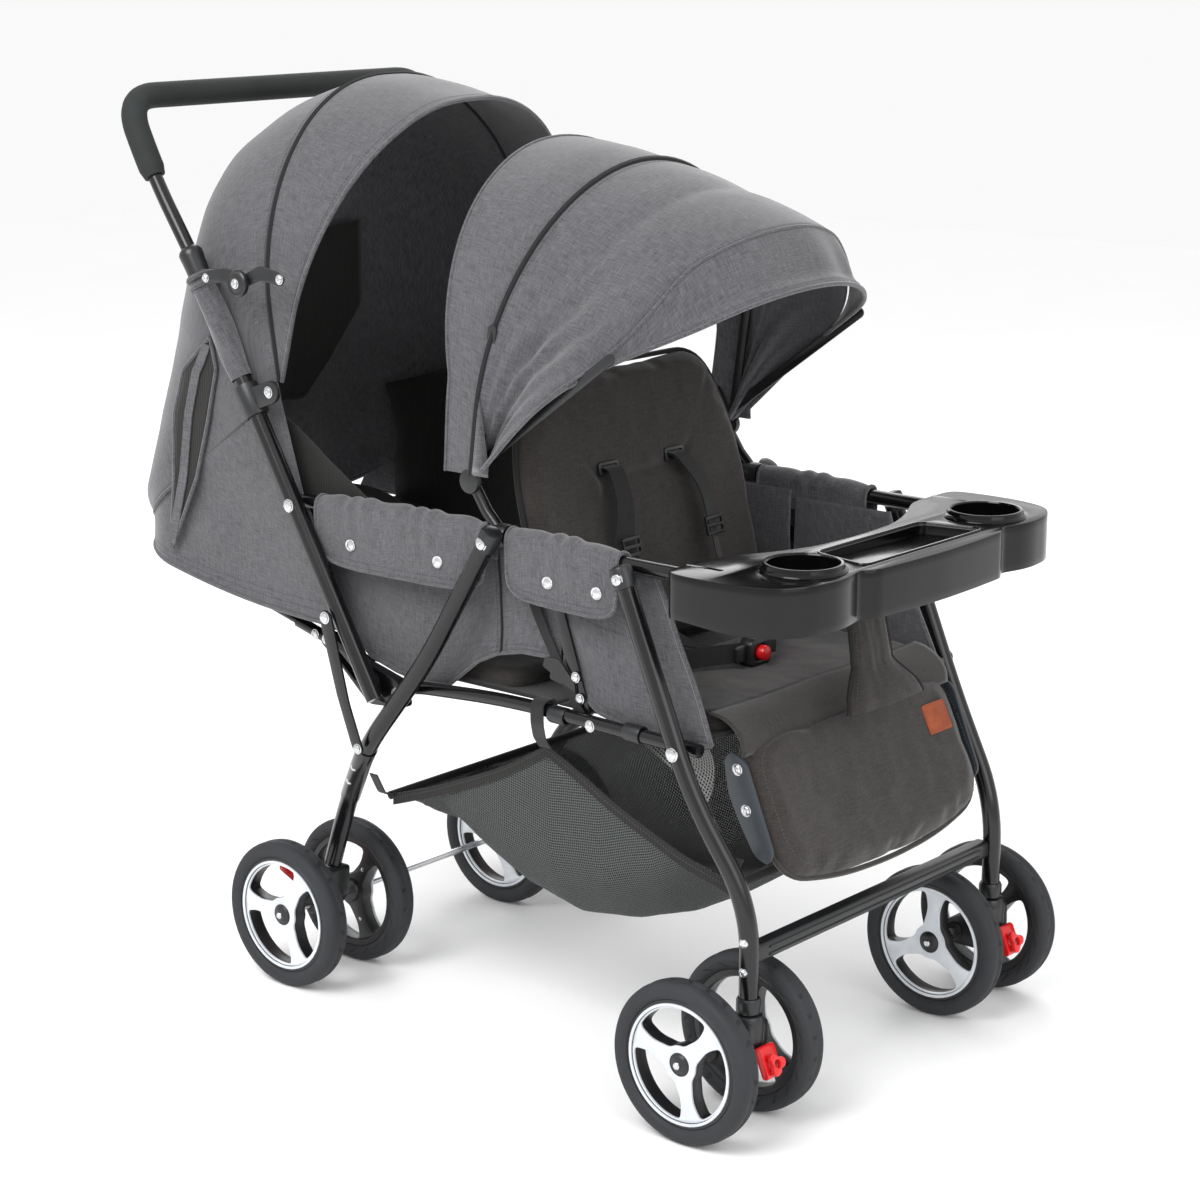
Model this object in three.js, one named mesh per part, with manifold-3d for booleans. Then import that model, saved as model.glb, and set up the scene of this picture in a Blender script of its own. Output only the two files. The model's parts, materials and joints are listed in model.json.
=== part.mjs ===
// Tandem twin stroller: two seats one behind the other on a folding tube frame.
// Millimetres, +Z up, travel along -Y, so the stroller's own right side is at -X.
// The model is drawn about the middle of the wheelbase and then moved in Y, so that the
// origin ends under the middle of the whole box, on the ground.
import * as THREE from 'three';
import { mergeVertices } from 'three/addons/utils/BufferGeometryUtils.js';
import Module from 'manifold-3d';

const wasm = await Module();
wasm.setup();

// ---------------------------------------------------------------- driving dimensions

// Wheels: each unit is a pair on one axle, left and right of its leg.
const wheelRadius = 88.9;
const wheelSides = 24;
const tyreWidth = 30;
const tyreDepth = 18.5;
const rimWidth = 22;
const rimBandWidth = 9;
const hubRadius = 16;
const spokeWidth = 17;
const axleRadius = 4;
const twinSpacing = 112;
const wheelbase = 634;
const frontTrack = 230;
const rearTrack = 188;
const casterTrail = 38;

// Frame: three layers of tube on each side, from the outside in.
const sidePlane = 245;
const tubeRadius = 10.5;
const upperTubeRadius = 8.5;
const railRadius = 7.5;
const armrestRadius = 8.5;
const layerGap = 4;
const linkThickness = 3;
const linkWidth = 20;
const rivetMargin = 12;

// Handle.
const handleHeight = 1031;
const gripRadius = 15;
const gripCornerRadius = 62;

// Clearances.
const touchGap = 0.4;
const runningGap = 0.5;
const softGap = 5;
const wheelGap = 8;

// Tray.
const trayHalfLength = 268;
const trayThickness = 26;
const cupRadius = 37;
const cupDepth = 22;
const cupRingWidth = 5;
const cupRingHeight = 9;
const cupPlace = 168;
const trayPlug = 44;

// Soft parts.
const fabric = 6;
const panThickness = 24;
const boardThickness = 26;
const canopyFabric = 4;
const legRestInset = 22;
const hoodRise = 19;
const frontCanopyRadius = 352;
const frontBrowRadius = 372;
const bowStep = 10;

// Side-view places as [y, z], measured from the middle of the wheelbase and the ground.
const pivots = {
  handle: [166, 382],
  frontLeg: [-271, 402],
  armrestFront: [-198, 575],
  armrestRear: [287, 586],
  rearLegTop: [-9, 585],
  crankTop: [227, 466],
  crankBottom: [179, 321],
  rearRecline: [243, 414],
  frontRecline: [-56, 430],
  legRest: [-292, 396],
  frontCanopy: [30, 640],
  rearCanopy: [328, 708],
  stretcherRear: [406, 835],
  stretcherKnob: [343, 835],
  stretcherFront: [280, 844],
};

// The rear leg bows forward here to pass below the handle's pivot.
const rearLegBow = [83, 438];

// ---------------------------------------------------------------- sizes that follow

const axleHeight = wheelRadius * Math.cos(Math.PI / wheelSides);
const frontAxleY = -wheelbase / 2;
const rearAxleY = wheelbase / 2;
const swivelY = frontAxleY - casterTrail;
const rimRadius = wheelRadius - tyreDepth;
const railPlane = sidePlane - tubeRadius - layerGap - railRadius;
const armrestPlane = railPlane;
const linkPlane = sidePlane + tubeRadius + layerGap / 2 + linkThickness / 2;
const seatHalfWidth = railPlane - Math.max(railRadius, armrestRadius) - softGap;
const forkWidth = (twinSpacing - tyreWidth) / 2 - wheelGap;
const wheelTop = axleHeight + wheelRadius;
const postBottom = axleHeight + 47;
const armrestFrontZ = pivots.armrestFront[1] + 8;
const trayBack = pivots.armrestFront[0] - 66;
const rearLegBottom = axleHeight + 52;
const rearLegFoot = [27, 78];
const rearLegDrop = (tubeRadius * rearLegFoot[0]) / Math.hypot(...rearLegFoot);

const sides = [
  { name: 'right', sign: -1 },
  { name: 'left', sign: 1 },
];

// ---------------------------------------------------------------- materials

const finish = (color, roughness, metalness = 0) =>
  new THREE.MeshStandardMaterial({ color, roughness, metalness });

const blackPaint = finish(0x0c0c0e, 0.25, 0.4);
const blackPlastic = finish(0x141416, 0.35);
const trayPlastic = finish(0x0a0a0b, 0.12);
const foam = finish(0x17171a, 0.9);
const steel = finish(0xb9bbbe, 0.3, 0.9);
const evaTyre = finish(0x2a2b2e, 0.85);
const silverPlastic = finish(0xc9ccd1, 0.35, 0.3);
const redPlastic = finish(0xd0161c, 0.35);
const greyCloth = finish(0x55535a, 0.95);
const darkCloth = finish(0x3a3636, 0.95);
const mesh = finish(0x1c1d1f, 0.9);

const stroller = new THREE.Group();

function add(name, geometry, material) {
  const node = new THREE.Mesh(geometry, material.clone());
  node.name = name;
  stroller.add(node);
  return node;
}

// ---------------------------------------------------------------- solids

function solid(geometry) {
  const bare = geometry.index ? geometry.toNonIndexed() : geometry.clone();
  bare.deleteAttribute('normal');
  bare.deleteAttribute('uv');
  const merged = mergeVertices(bare, 1e-3);
  return new wasm.Manifold(new wasm.Mesh({
    numProp: 3,
    vertProperties: merged.attributes.position.array,
    triVerts: new Uint32Array(merged.index.array),
  }));
}

function geometryOf(manifold) {
  const { vertProperties, triVerts } = manifold.getMesh();
  const geometry = new THREE.BufferGeometry();
  geometry.setAttribute('position', new THREE.BufferAttribute(new Float32Array(vertProperties), 3));
  geometry.setIndex(new THREE.BufferAttribute(new Uint32Array(triVerts), 1));
  geometry.computeVertexNormals();
  return geometry;
}

const join = (...parts) => geometryOf(parts.map(solid).reduce((whole, part) => whole.add(part)));
const cut = (body, ...tools) =>
  geometryOf(tools.map(solid).reduce((whole, tool) => whole.subtract(tool), solid(body)));
const common = (...parts) =>
  geometryOf(parts.map(solid).reduce((whole, part) => whole.intersect(part)));

const outline = (points) =>
  new THREE.Shape(points.map((p) => (p.isVector2 ? p : new THREE.Vector2(p[0], p[1]))));

// Points round an arc, angles in degrees; the last point is left off unless the arc is open.
function arc(radius, from, to, count, open = false) {
  return Array.from({ length: open ? count + 1 : count }, (_, i) => {
    const turn = degrees(from + ((to - from) * i) / count);
    return new THREE.Vector2(radius * Math.cos(turn), radius * Math.sin(turn));
  });
}

// A plate drawn in the side view as [y, z] points and extruded across the stroller.
function sidePlate(shape, x0, x1) {
  const plate = new THREE.ExtrudeGeometry(shape, { depth: x1 - x0, bevelEnabled: false, curveSegments: 4 });
  plate.applyMatrix4(new THREE.Matrix4().set(0, 0, 1, x0, 1, 0, 0, 0, 0, 1, 0, 0, 0, 0, 0, 1));
  return plate;
}

// A plate drawn in the plan view as [x, y] points and extruded upwards.
function planPlate(shape, z0, z1) {
  const plate = new THREE.ExtrudeGeometry(shape, { depth: z1 - z0, bevelEnabled: false, curveSegments: 6 });
  return plate.translate(0, 0, z0);
}

// A plate drawn in the front view as [x, z] points and extruded rearwards.
function facePlate(shape, y0, y1) {
  const plate = new THREE.ExtrudeGeometry(shape, { depth: y1 - y0, bevelEnabled: false, curveSegments: 6 });
  return plate.rotateX(Math.PI / 2).translate(0, y1, 0);
}

// A round bar across the stroller.
function crossBar(radius, x0, x1, [y, z], segments = 12) {
  const bar = new THREE.CylinderGeometry(radius, radius, Math.abs(x1 - x0), segments);
  return bar.rotateZ(Math.PI / 2).translate((x0 + x1) / 2, y, z);
}

// A path of straight runs through the points, with each inner corner rounded off.
function bentPath(points, bend) {
  const corners = points.map((p) => new THREE.Vector3(...p));
  const path = new THREE.CurvePath();
  let from = corners[0];
  for (let i = 1; i < corners.length - 1; i += 1) {
    const corner = corners[i];
    const back = corners[i - 1].clone().sub(corner);
    const ahead = corners[i + 1].clone().sub(corner);
    const room = Math.min(bend, back.length() * 0.45, ahead.length() * 0.45);
    const enter = corner.clone().add(back.setLength(room));
    const leave = corner.clone().add(ahead.setLength(room));
    path.add(new THREE.LineCurve3(from, enter));
    path.add(new THREE.QuadraticBezierCurve3(enter, corner, leave));
    from = leave;
  }
  path.add(new THREE.LineCurve3(from, corners.at(-1)));
  return path;
}

// A tube, or with a bore a sleeve, along a bent path.
function bentTube(points, radius, { bend = 40, steps = 12, facets = 5, bore = 0 } = {}) {
  const section = new THREE.Shape();
  section.absarc(0, 0, radius, 0, Math.PI * 2);
  if (bore) {
    const hole = new THREE.Path();
    hole.absarc(0, 0, bore, 0, Math.PI * 2, true);
    section.holes.push(hole);
  }
  return new THREE.ExtrudeGeometry(section, {
    steps, curveSegments: facets, bevelEnabled: false, extrudePath: bentPath(points, bend),
  });
}

// A flat bar with round ends between two side-view places, centred on x.
function flatLink([y0, z0], [y1, z1], width, x, thickness) {
  const turn = Math.atan2(z1 - z0, y1 - y0);
  const shape = new THREE.Shape();
  shape.absarc(y0, z0, width / 2, turn + Math.PI / 2, turn + Math.PI * 1.5);
  shape.absarc(y1, z1, width / 2, turn - Math.PI / 2, turn + Math.PI / 2);
  return sidePlate(shape, x - thickness / 2, x + thickness / 2);
}

// A board seen from the side as a thick line with blunt ends.
function board([y0, z0], [y1, z1], thickness, halfWidth) {
  const along = new THREE.Vector2(y1 - y0, z1 - z0).normalize();
  const off = new THREE.Vector2(-along.y, along.x).multiplyScalar(thickness / 2);
  return sidePlate(outline([
    [y0 + off.x, z0 + off.y],
    [y0 - off.x, z0 - off.y],
    [y1 - off.x, z1 - off.y],
    [y1 + off.x, z1 + off.y],
  ]), -halfWidth, halfWidth);
}

const degrees = (angle) => (angle * Math.PI) / 180;
const inDegrees = (angle) => (angle * 180) / Math.PI;
// A many-sided hole's corner radius, so that its flats clear a round bar of the given radius.
const around = (radius, count) => radius / Math.cos(Math.PI / count);
const polar = ([y, z], radius, angle) =>
  [y + radius * Math.cos(degrees(angle)), z + radius * Math.sin(degrees(angle))];
const between = ([y0, z0], [y1, z1], share) => [y0 + (y1 - y0) * share, z0 + (z1 - z0) * share];

// ---------------------------------------------------------------- wheels and their units

function tyre(x, y, outward) {
  const half = tyreWidth / 2;
  const tread = wheelRadius;
  const shoulder = wheelRadius - 5;
  const bore = around(rimRadius + touchGap, wheelSides);
  const profile = [
    [bore, -half + 2], [shoulder, -half], [tread, -half + 6], [tread, half - 6], [shoulder, half],
    [bore, half - 2], [bore, -half + 2],
  ].map(([r, across]) => new THREE.Vector2(r, across));
  const ring = new THREE.LatheGeometry(profile, wheelSides);
  // Half a facet of turn puts a flat of the tread on the ground.
  return ring.rotateY(Math.PI / wheelSides).rotateZ((-outward * Math.PI) / 2).translate(x, y, axleHeight);
}

function rim(x, y) {
  const disc = outline(arc(rimRadius, 0, 360, wheelSides));
  const outer = rimRadius - rimBandWidth;
  const outerShare = 60 - inDegrees(Math.asin(spokeWidth / 2 / outer));
  const hubShare = 60 - inDegrees(Math.asin(spokeWidth / 2 / hubRadius));
  disc.holes.push(new THREE.Path(arc(around(axleRadius + touchGap, 10), 360, 0, 10)));
  for (let middle = 30; middle < 360; middle += 120) {
    disc.holes.push(new THREE.Path([
      ...arc(outer, middle + outerShare, middle - outerShare, 5, true),
      ...arc(hubRadius, middle - hubShare, middle + hubShare, 2, true),
    ]));
  }
  return sidePlate(disc, x - rimWidth / 2, x + rimWidth / 2).translate(0, y, axleHeight);
}

function wheelPair(unit, x, y) {
  for (const [place, outward] of [['outer', Math.sign(x)], ['inner', -Math.sign(x)]]) {
    const wheelX = x + (outward * twinSpacing) / 2;
    add(`tyre_${unit}_${place}`, tyre(wheelX, y, outward), evaTyre);
    add(`rim_${unit}_${place}`, rim(wheelX, y), silverPlastic);
  }
}

// A steel axle that ends just past the rim of each wheel unit it carries.
function axle(name, x0, x1, y) {
  const end = twinSpacing / 2 + rimWidth / 2 + 6;
  add(name, crossBar(axleRadius, x0 - end, x1 + end, [y, axleHeight], 10), steel);
}

function axleHole(shape, [y, z]) {
  const hole = new THREE.Path();
  hole.absarc(y, z, around(axleRadius + touchGap, 8), 0, Math.PI * 2, true);
  shape.holes.push(hole);
  return shape;
}

// The front units swivel: a fork under the leg's post carries the axle behind the swivel.
function casters() {
  const top = postBottom - touchGap;
  const socket = tubeRadius + 5;
  for (const { name, sign } of sides) {
    const x = sign * frontTrack;
    const shape = axleHole(outline([
      [swivelY - socket, top], [swivelY - socket, axleHeight + 4], [swivelY - 4, axleHeight - 15],
      [frontAxleY - 6, axleHeight - 16], [frontAxleY + 13, axleHeight - 8],
      [frontAxleY + 13, axleHeight + 9], [swivelY + socket + 3, axleHeight + 24], [swivelY + socket, top],
    ]), [frontAxleY, axleHeight]);
    add(`caster_fork_${name}`, sidePlate(shape, x - forkWidth / 2, x + forkWidth / 2), blackPlastic);
    const leverHinge = [swivelY - socket - 6, axleHeight + 12];
    const lever = flatLink(leverHinge, [leverHinge[0] - 10, leverHinge[1] - 24], 9, x, forkWidth * 0.8);
    add(`caster_lock_${name}`, lever, redPlastic);
    wheelPair(`front_${name}`, x, frontAxleY);
    axle(`axle_front_${name}`, x, x, frontAxleY);
  }
}

// The rear units are fixed: a hub on each leg's foot carries a brake pedal, and one long axle
// joins the two hubs and runs through all four wheels.
function rearUnits() {
  const hubTop = rearLegBottom - rearLegDrop - touchGap;
  for (const { name, sign } of sides) {
    const x = sign * rearTrack;
    const shape = axleHole(outline([
      [rearAxleY - 34, hubTop], [rearAxleY - 30, axleHeight + 12],
      [rearAxleY - 13, axleHeight - 12], [rearAxleY + 8, axleHeight - 14], [rearAxleY + 14, axleHeight],
      [rearAxleY + 10, axleHeight + 22], [rearAxleY - 4, hubTop],
    ]), [rearAxleY, axleHeight]);
    add(`rear_hub_${name}`, sidePlate(shape, x - forkWidth / 2, x + forkWidth / 2), blackPlastic);
    const hinge = [rearAxleY + 22, axleHeight + 26];
    const pedal = flatLink(hinge, [hinge[0] + 24, hinge[1] + 10], 10, x, forkWidth * 1.4);
    add(`brake_pedal_${name}`, pedal, redPlastic);
    wheelPair(`rear_${name}`, x, rearAxleY);
  }
  axle('axle_rear', -rearTrack, rearTrack, rearAxleY);
}

// ---------------------------------------------------------------- frame

function legs() {
  const braceBottom = wheelTop + wheelGap;
  const [topY, topZ] = pivots.armrestFront;
  const [kneeY, kneeZ] = pivots.frontLeg;
  const slope = (topY - kneeY) / (topZ - kneeZ);
  // The leg stays in its own plane until it is well below the rail.
  const kneeDrop = railRadius + 34;
  for (const { name, sign } of sides) {
    const x = sign * sidePlane;
    const post = sign * frontTrack;
    add(`front_leg_${name}`, bentTube([
      [x, topY + slope * rivetMargin, topZ + rivetMargin],
      [x, kneeY - slope * kneeDrop, kneeZ - kneeDrop],
      [post, swivelY, postBottom + 115],
      [post, swivelY, postBottom],
    ], tubeRadius, { bend: 50, steps: 14 }), blackPaint);
    const foot = sign * rearTrack;
    add(`rear_leg_${name}`, bentTube([
      [x, pivots.rearLegTop[0] - rivetMargin * 0.65, pivots.rearLegTop[1] + rivetMargin],
      [x, ...rearLegBow],
      [x, ...pivots.crankBottom],
      [foot, rearAxleY - 19 - rearLegFoot[0], rearLegBottom + rearLegFoot[1]],
      [foot, rearAxleY - 19, rearLegBottom],
    ], tubeRadius, { bend: 45, steps: 16 }), blackPaint);
  }
  const braceHalf = frontTrack - tubeRadius - touchGap;
  const braceY = swivelY + 6;
  add('front_brace', planPlate(outline([
    [-braceHalf, braceY - 9], [braceHalf, braceY - 9], [braceHalf, braceY + 9], [-braceHalf, braceY + 9],
  ]), braceBottom, braceBottom + 20), blackPaint);
}

function seatFrame() {
  const rear = pivots.handle;
  const bracketHalf = railRadius + 0.5;
  for (const { name, sign } of sides) {
    const x = sign * railPlane;
    const tube = bentTube([
      [x, pivots.frontLeg[0] - rivetMargin, pivots.frontLeg[1] - 1],
      [x, -20, 407],
      [x, rear[0] - 40, rear[1] + 14],
      [x, rear[0] + rivetMargin, rear[1] - 4],
    ], railRadius, { bend: 60, steps: 16 });
    const bracket = sidePlate(outline([
      [rear[0] - 34, rear[1] - 12], [rear[0] + 24, rear[1] - 17], [rear[0] + 70, rear[1] + 22],
      [rear[0] + 102, rear[1] + 44], [rear[0] + 92, rear[1] + 58], [rear[0] + 40, rear[1] + 34],
      [rear[0] - 24, rear[1] + 18],
    ]), x - bracketHalf, x + bracketHalf);
    add(`rail_${name}`, join(tube, bracket), blackPaint);
  }
}

function armrests() {
  for (const { name, sign } of sides) {
    const x = sign * armrestPlane;
    const [rearY, rearZ] = pivots.armrestRear;
    add(`armrest_tube_${name}`, bentTube([
      [x, rearY + rivetMargin, rearZ],
      [x, pivots.rearLegTop[0], pivots.rearLegTop[1] + 4],
      [x, pivots.armrestFront[0], armrestFrontZ],
      [x, trayBack - trayPlug, armrestFrontZ],
    ], armrestRadius, { bend: 30, steps: 12 }), blackPaint);
  }
}

// The straight lower tubes run a little past their pivot, and end in a collar, where the
// thinner U of the handle starts.
const tubeEnd = 0.01;
const tubeAt = (height) => {
  const [from, to] = [pivots.handle, pivots.armrestRear];
  return between(from, to, (height - from[1]) / (to[1] - from[1]));
};
const collarPlace = tubeAt(handleHeight - 173);
const gripStart = [collarPlace[0] + 58, collarPlace[1] + 84];
const handleTop = [gripStart[0] + 46, handleHeight];

function handle() {
  for (const { name, sign } of sides) {
    const x = sign * sidePlane;
    const start = between(pivots.handle, collarPlace, -tubeEnd);
    const tube = bentTube([[x, ...start], [x, ...collarPlace]], tubeRadius, { steps: 1 });
    const collarFrom = between(pivots.handle, collarPlace, 0.965);
    const collar = bentTube([[x, ...collarFrom], [x, ...collarPlace]], tubeRadius + 3.5, { steps: 1 });
    add(`handle_lower_${name}`, join(tube, collar), blackPaint);
  }
  const upperStart = between(collarPlace, gripStart, 0.008);
  const route = [
    [-sidePlane, ...upperStart], [-sidePlane, ...gripStart], [-sidePlane, ...handleTop],
    [sidePlane, ...handleTop], [sidePlane, ...gripStart], [sidePlane, ...upperStart],
  ];
  const shape = { bend: gripCornerRadius, steps: 56, facets: 4 };
  add('handle_upper', bentTube(route, upperTubeRadius, shape), blackPaint);
  const sleeve = bentTube(route, gripRadius, { ...shape, bore: upperTubeRadius + 2 });
  // The foam starts on a plane square to the tube at the grip's lower end.
  const run = new THREE.Vector2(handleTop[0] - gripStart[0], handleTop[1] - gripStart[1]).setLength(1);
  const [startY, startZ] = between(gripStart, handleTop, 0.02);
  const reach = gripRadius * 20;
  const aboveStart = sidePlate(outline([
    [startY + run.y * reach, startZ - run.x * reach],
    [startY + (run.y + run.x) * reach, startZ + (run.y - run.x) * reach],
    [startY + (run.x - run.y) * reach, startZ + (run.x + run.y) * reach],
    [startY - run.y * reach, startZ + run.x * reach],
  ]), -sidePlane - reach, sidePlane + reach);
  add('handle_grip', common(sleeve, aboveStart), foam);
}

function crankLinks() {
  for (const { name, sign } of sides) {
    const link = flatLink(pivots.crankTop, pivots.crankBottom, linkWidth, sign * linkPlane, linkThickness);
    add(`crank_link_${name}`, link, blackPaint);
  }
}

// ---------------------------------------------------------------- tray

function tray() {
  const top = armrestFrontZ + trayThickness / 2;
  const bottom = top - trayThickness;
  const back = trayBack;
  const front = back - 162;
  const cupY = back - 106;
  const plan = new THREE.Shape();
  plan.moveTo(-trayHalfLength + 14, back);
  plan.lineTo(-trayHalfLength + 92, back);
  plan.quadraticCurveTo(-110, back - 52, 0, back - 54);
  plan.quadraticCurveTo(110, back - 52, trayHalfLength - 92, back);
  plan.lineTo(trayHalfLength - 14, back);
  plan.quadraticCurveTo(trayHalfLength, back, trayHalfLength, back - 24);
  plan.quadraticCurveTo(trayHalfLength - 4, front + 16, trayHalfLength - 66, front + 4);
  plan.quadraticCurveTo(0, front - 12, -trayHalfLength + 66, front + 4);
  plan.quadraticCurveTo(-trayHalfLength + 4, front + 16, -trayHalfLength, back - 24);
  plan.quadraticCurveTo(-trayHalfLength, back, -trayHalfLength + 14, back);
  const slab = planPlate(plan, bottom, top);
  const socketRadius = around(armrestRadius + runningGap, 12);
  const rings = [];
  const wells = [];
  const sockets = [];
  for (const { sign } of sides) {
    const ringRadius = cupRadius + cupRingWidth;
    const ring = new THREE.CylinderGeometry(ringRadius, ringRadius, cupRingHeight, 20);
    rings.push(ring.rotateX(Math.PI / 2).translate(sign * cupPlace, cupY, top + cupRingHeight / 2 - 0.01));
    const well = new THREE.CylinderGeometry(cupRadius, cupRadius - 3, cupDepth + cupRingHeight, 20);
    const wellMiddle = top + cupRingHeight - (cupDepth + cupRingHeight) / 2 + 0.01;
    wells.push(well.rotateX(Math.PI / 2).translate(sign * cupPlace, cupY, wellMiddle));
    const socket = new THREE.CylinderGeometry(socketRadius, socketRadius, trayPlug + 4, 12);
    sockets.push(socket.translate(sign * armrestPlane, back - trayPlug / 2 + 1, armrestFrontZ));
  }
  const pocket = planPlate(outline([
    [-112, cupY - 36], [112, cupY - 36], [96, cupY + 40], [-96, cupY + 40],
  ]), top - 12, top + 1);
  const apron = planPlate(outline([
    [-trayHalfLength + 70, front + 12], [0, front + 2], [trayHalfLength - 70, front + 12],
    [trayHalfLength - 70, front + 18], [0, front + 8], [-trayHalfLength + 70, front + 18],
  ]), bottom - 26, bottom + 1);
  add('tray', cut(join(slab, ...rings, apron), ...wells, ...sockets, pocket), trayPlastic);
}

// ---------------------------------------------------------------- seats

// A seat liner is a pan with two side walls up to the armrests.
function seatLiner(name, yFront, yRear, panTop, wallTop, material) {
  const pan = sidePlate(outline([
    [yFront, panTop - panThickness], [yRear, panTop - panThickness], [yRear, panTop], [yFront, panTop],
  ]), -seatHalfWidth, seatHalfWidth);
  const walls = sides.map(({ sign }) => {
    const outer = sign * seatHalfWidth;
    const inner = sign * (seatHalfWidth - fabric);
    return sidePlate(outline([
      [yFront, panTop - panThickness], [yRear, panTop - panThickness], [yRear, wallTop], [yFront, wallTop],
    ]), Math.min(outer, inner), Math.max(outer, inner));
  });
  add(name, join(pan, ...walls), material);
}

function seats() {
  const railTop = pivots.frontLeg[1];
  const panTop = railTop + panThickness + 2;
  const wallTop = pivots.armrestFront[1] - 12;
  const backHalf = seatHalfWidth - fabric - softGap;
  const frontBack = pivots.frontRecline;
  seatLiner('front_seat', pivots.legRest[0] + 6, frontBack[0] - 22, panTop, wallTop, darkCloth);
  seatLiner('rear_seat', frontBack[0] + 40, pivots.rearRecline[0] - 22, panTop, wallTop, greyCloth);
  add('front_backrest', board(
    [frontBack[0] + 2, frontBack[1] + 4], polar(frontBack, 328, 76), boardThickness, backHalf,
  ), darkCloth);
  add('rear_backrest', board(
    [pivots.rearRecline[0] + 4, pivots.rearRecline[1] + 2], polar(pivots.rearRecline, 362, 14.5),
    boardThickness, backHalf - 34,
  ), greyCloth);
  const [restY, restZ] = pivots.legRest;
  add('leg_rest', board(
    [restY - 10, restZ - 2], [restY - 78, restZ - 146], boardThickness,
    Math.min(seatHalfWidth, frontTrack - tubeRadius) - legRestInset,
  ), darkCloth);
  harness();
}

function harness() {
  const y = pivots.frontRecline[0] - 128;
  const z = pivots.frontLeg[1] + panThickness + 2 + touchGap;
  const housing = planPlate(outline([[-19, y - 9], [19, y - 9], [19, y + 9], [-19, y + 9]]), z, z + 34);
  const pocket = planPlate(outline([[-9, y - 10], [9, y - 10], [9, y - 4], [-9, y - 4]]), z + 9, z + 25);
  add('buckle', cut(housing, pocket), blackPlastic);
  const button = planPlate(outline([
    [-9 + touchGap, y - 12], [9 - touchGap, y - 12], [9 - touchGap, y - 8], [-9 + touchGap, y - 8],
  ]), z + 9 + touchGap, z + 25 - touchGap);
  add('buckle_button', button, redPlastic);
}

// ---------------------------------------------------------------- basket

function basket() {
  const half = seatHalfWidth - 14;
  const rim = [
    [pivots.crankBottom[0] + 10, 250], [-68, 371], [pivots.legRest[0] - 19, 252],
  ];
  const floor = [[-190, 172], [-72, 131], [40, 152]];
  const outer = sidePlate(outline([...rim, ...floor]), -half, half);
  const inner = sidePlate(outline([
    [rim[0][0] - 9, rim[0][1] + 3], [rim[0][0] - 9, 420],
    [rim[2][0] + 9, 420], [rim[2][0] + 9, rim[2][1] + 3],
    ...floor.map(([y, z]) => [y, z + fabric]),
  ]), -half + fabric, half - fabric);
  add('basket', cut(outer, inner), mesh);
}

// ---------------------------------------------------------------- canopies

// The round solid that a bow sweeps about its pivot: flat sides and a crowned top.
function sweptBow([y, z], radius, halfWidth, corner) {
  const profile = [[0, -halfWidth], [radius - corner * 1.25, -halfWidth]];
  for (let step = 1; step < 4; step += 1) {
    const turn = degrees(step * 22.5);
    profile.push([
      radius - corner * 1.25 + corner * Math.sin(turn), -halfWidth + corner * (1 - Math.cos(turn)),
    ]);
  }
  profile.push([radius - corner * 0.12, -halfWidth + corner]);
  const crown = profile.slice().reverse().map(([r, across]) => [r, -across]);
  const points = [...profile, [radius, 0], ...crown].map(([r, across]) => new THREE.Vector2(r, across));
  return new THREE.LatheGeometry(points, 36).rotateZ(-Math.PI / 2).translate(0, y, z);
}

function sector(center, radius, from, to) {
  const shape = [polar(center, 14, (from + to) / 2)];
  for (let angle = from; angle <= to + 0.01; angle += (to - from) / 4) {
    shape.push(polar(center, radius, angle));
  }
  return sidePlate(outline(shape), -400, 400);
}

// A curved panel between two bow positions, given as angles about the pivot.
function canopyPanel(center, radius, halfWidth, wall, from, to) {
  const shell = cut(
    sweptBow(center, radius, halfWidth, 90),
    sweptBow(center, radius - wall, halfWidth - wall, 88),
  );
  return common(shell, sector(center, radius * 1.4, from, to));
}

function frontCanopy() {
  const half = armrestPlane + armrestRadius + softGap;
  const center = pivots.frontCanopy;
  add('front_canopy', canopyPanel(center, frontCanopyRadius, half, canopyFabric, 72, 136), greyCloth);
  add('front_canopy_bow', canopyPanel(center, frontBrowRadius, half, canopyFabric, 136.2, 147), greyCloth);
}

const rearCanopyRadius = handleHeight + hoodRise - pivots.rearCanopy[1];

function rearCanopy() {
  const half = sidePlane - tubeRadius - softGap;
  const center = pivots.rearCanopy;
  const panelHalf = half - fabric;
  add('rear_canopy', canopyPanel(center, rearCanopyRadius, panelHalf, canopyFabric, 80.5, 103), greyCloth);
  const bow = canopyPanel(center, rearCanopyRadius + bowStep, panelHalf, canopyFabric, 103.2, 112);
  add('rear_canopy_bow', bow, greyCloth);
  rearHood(half, center);
}

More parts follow.
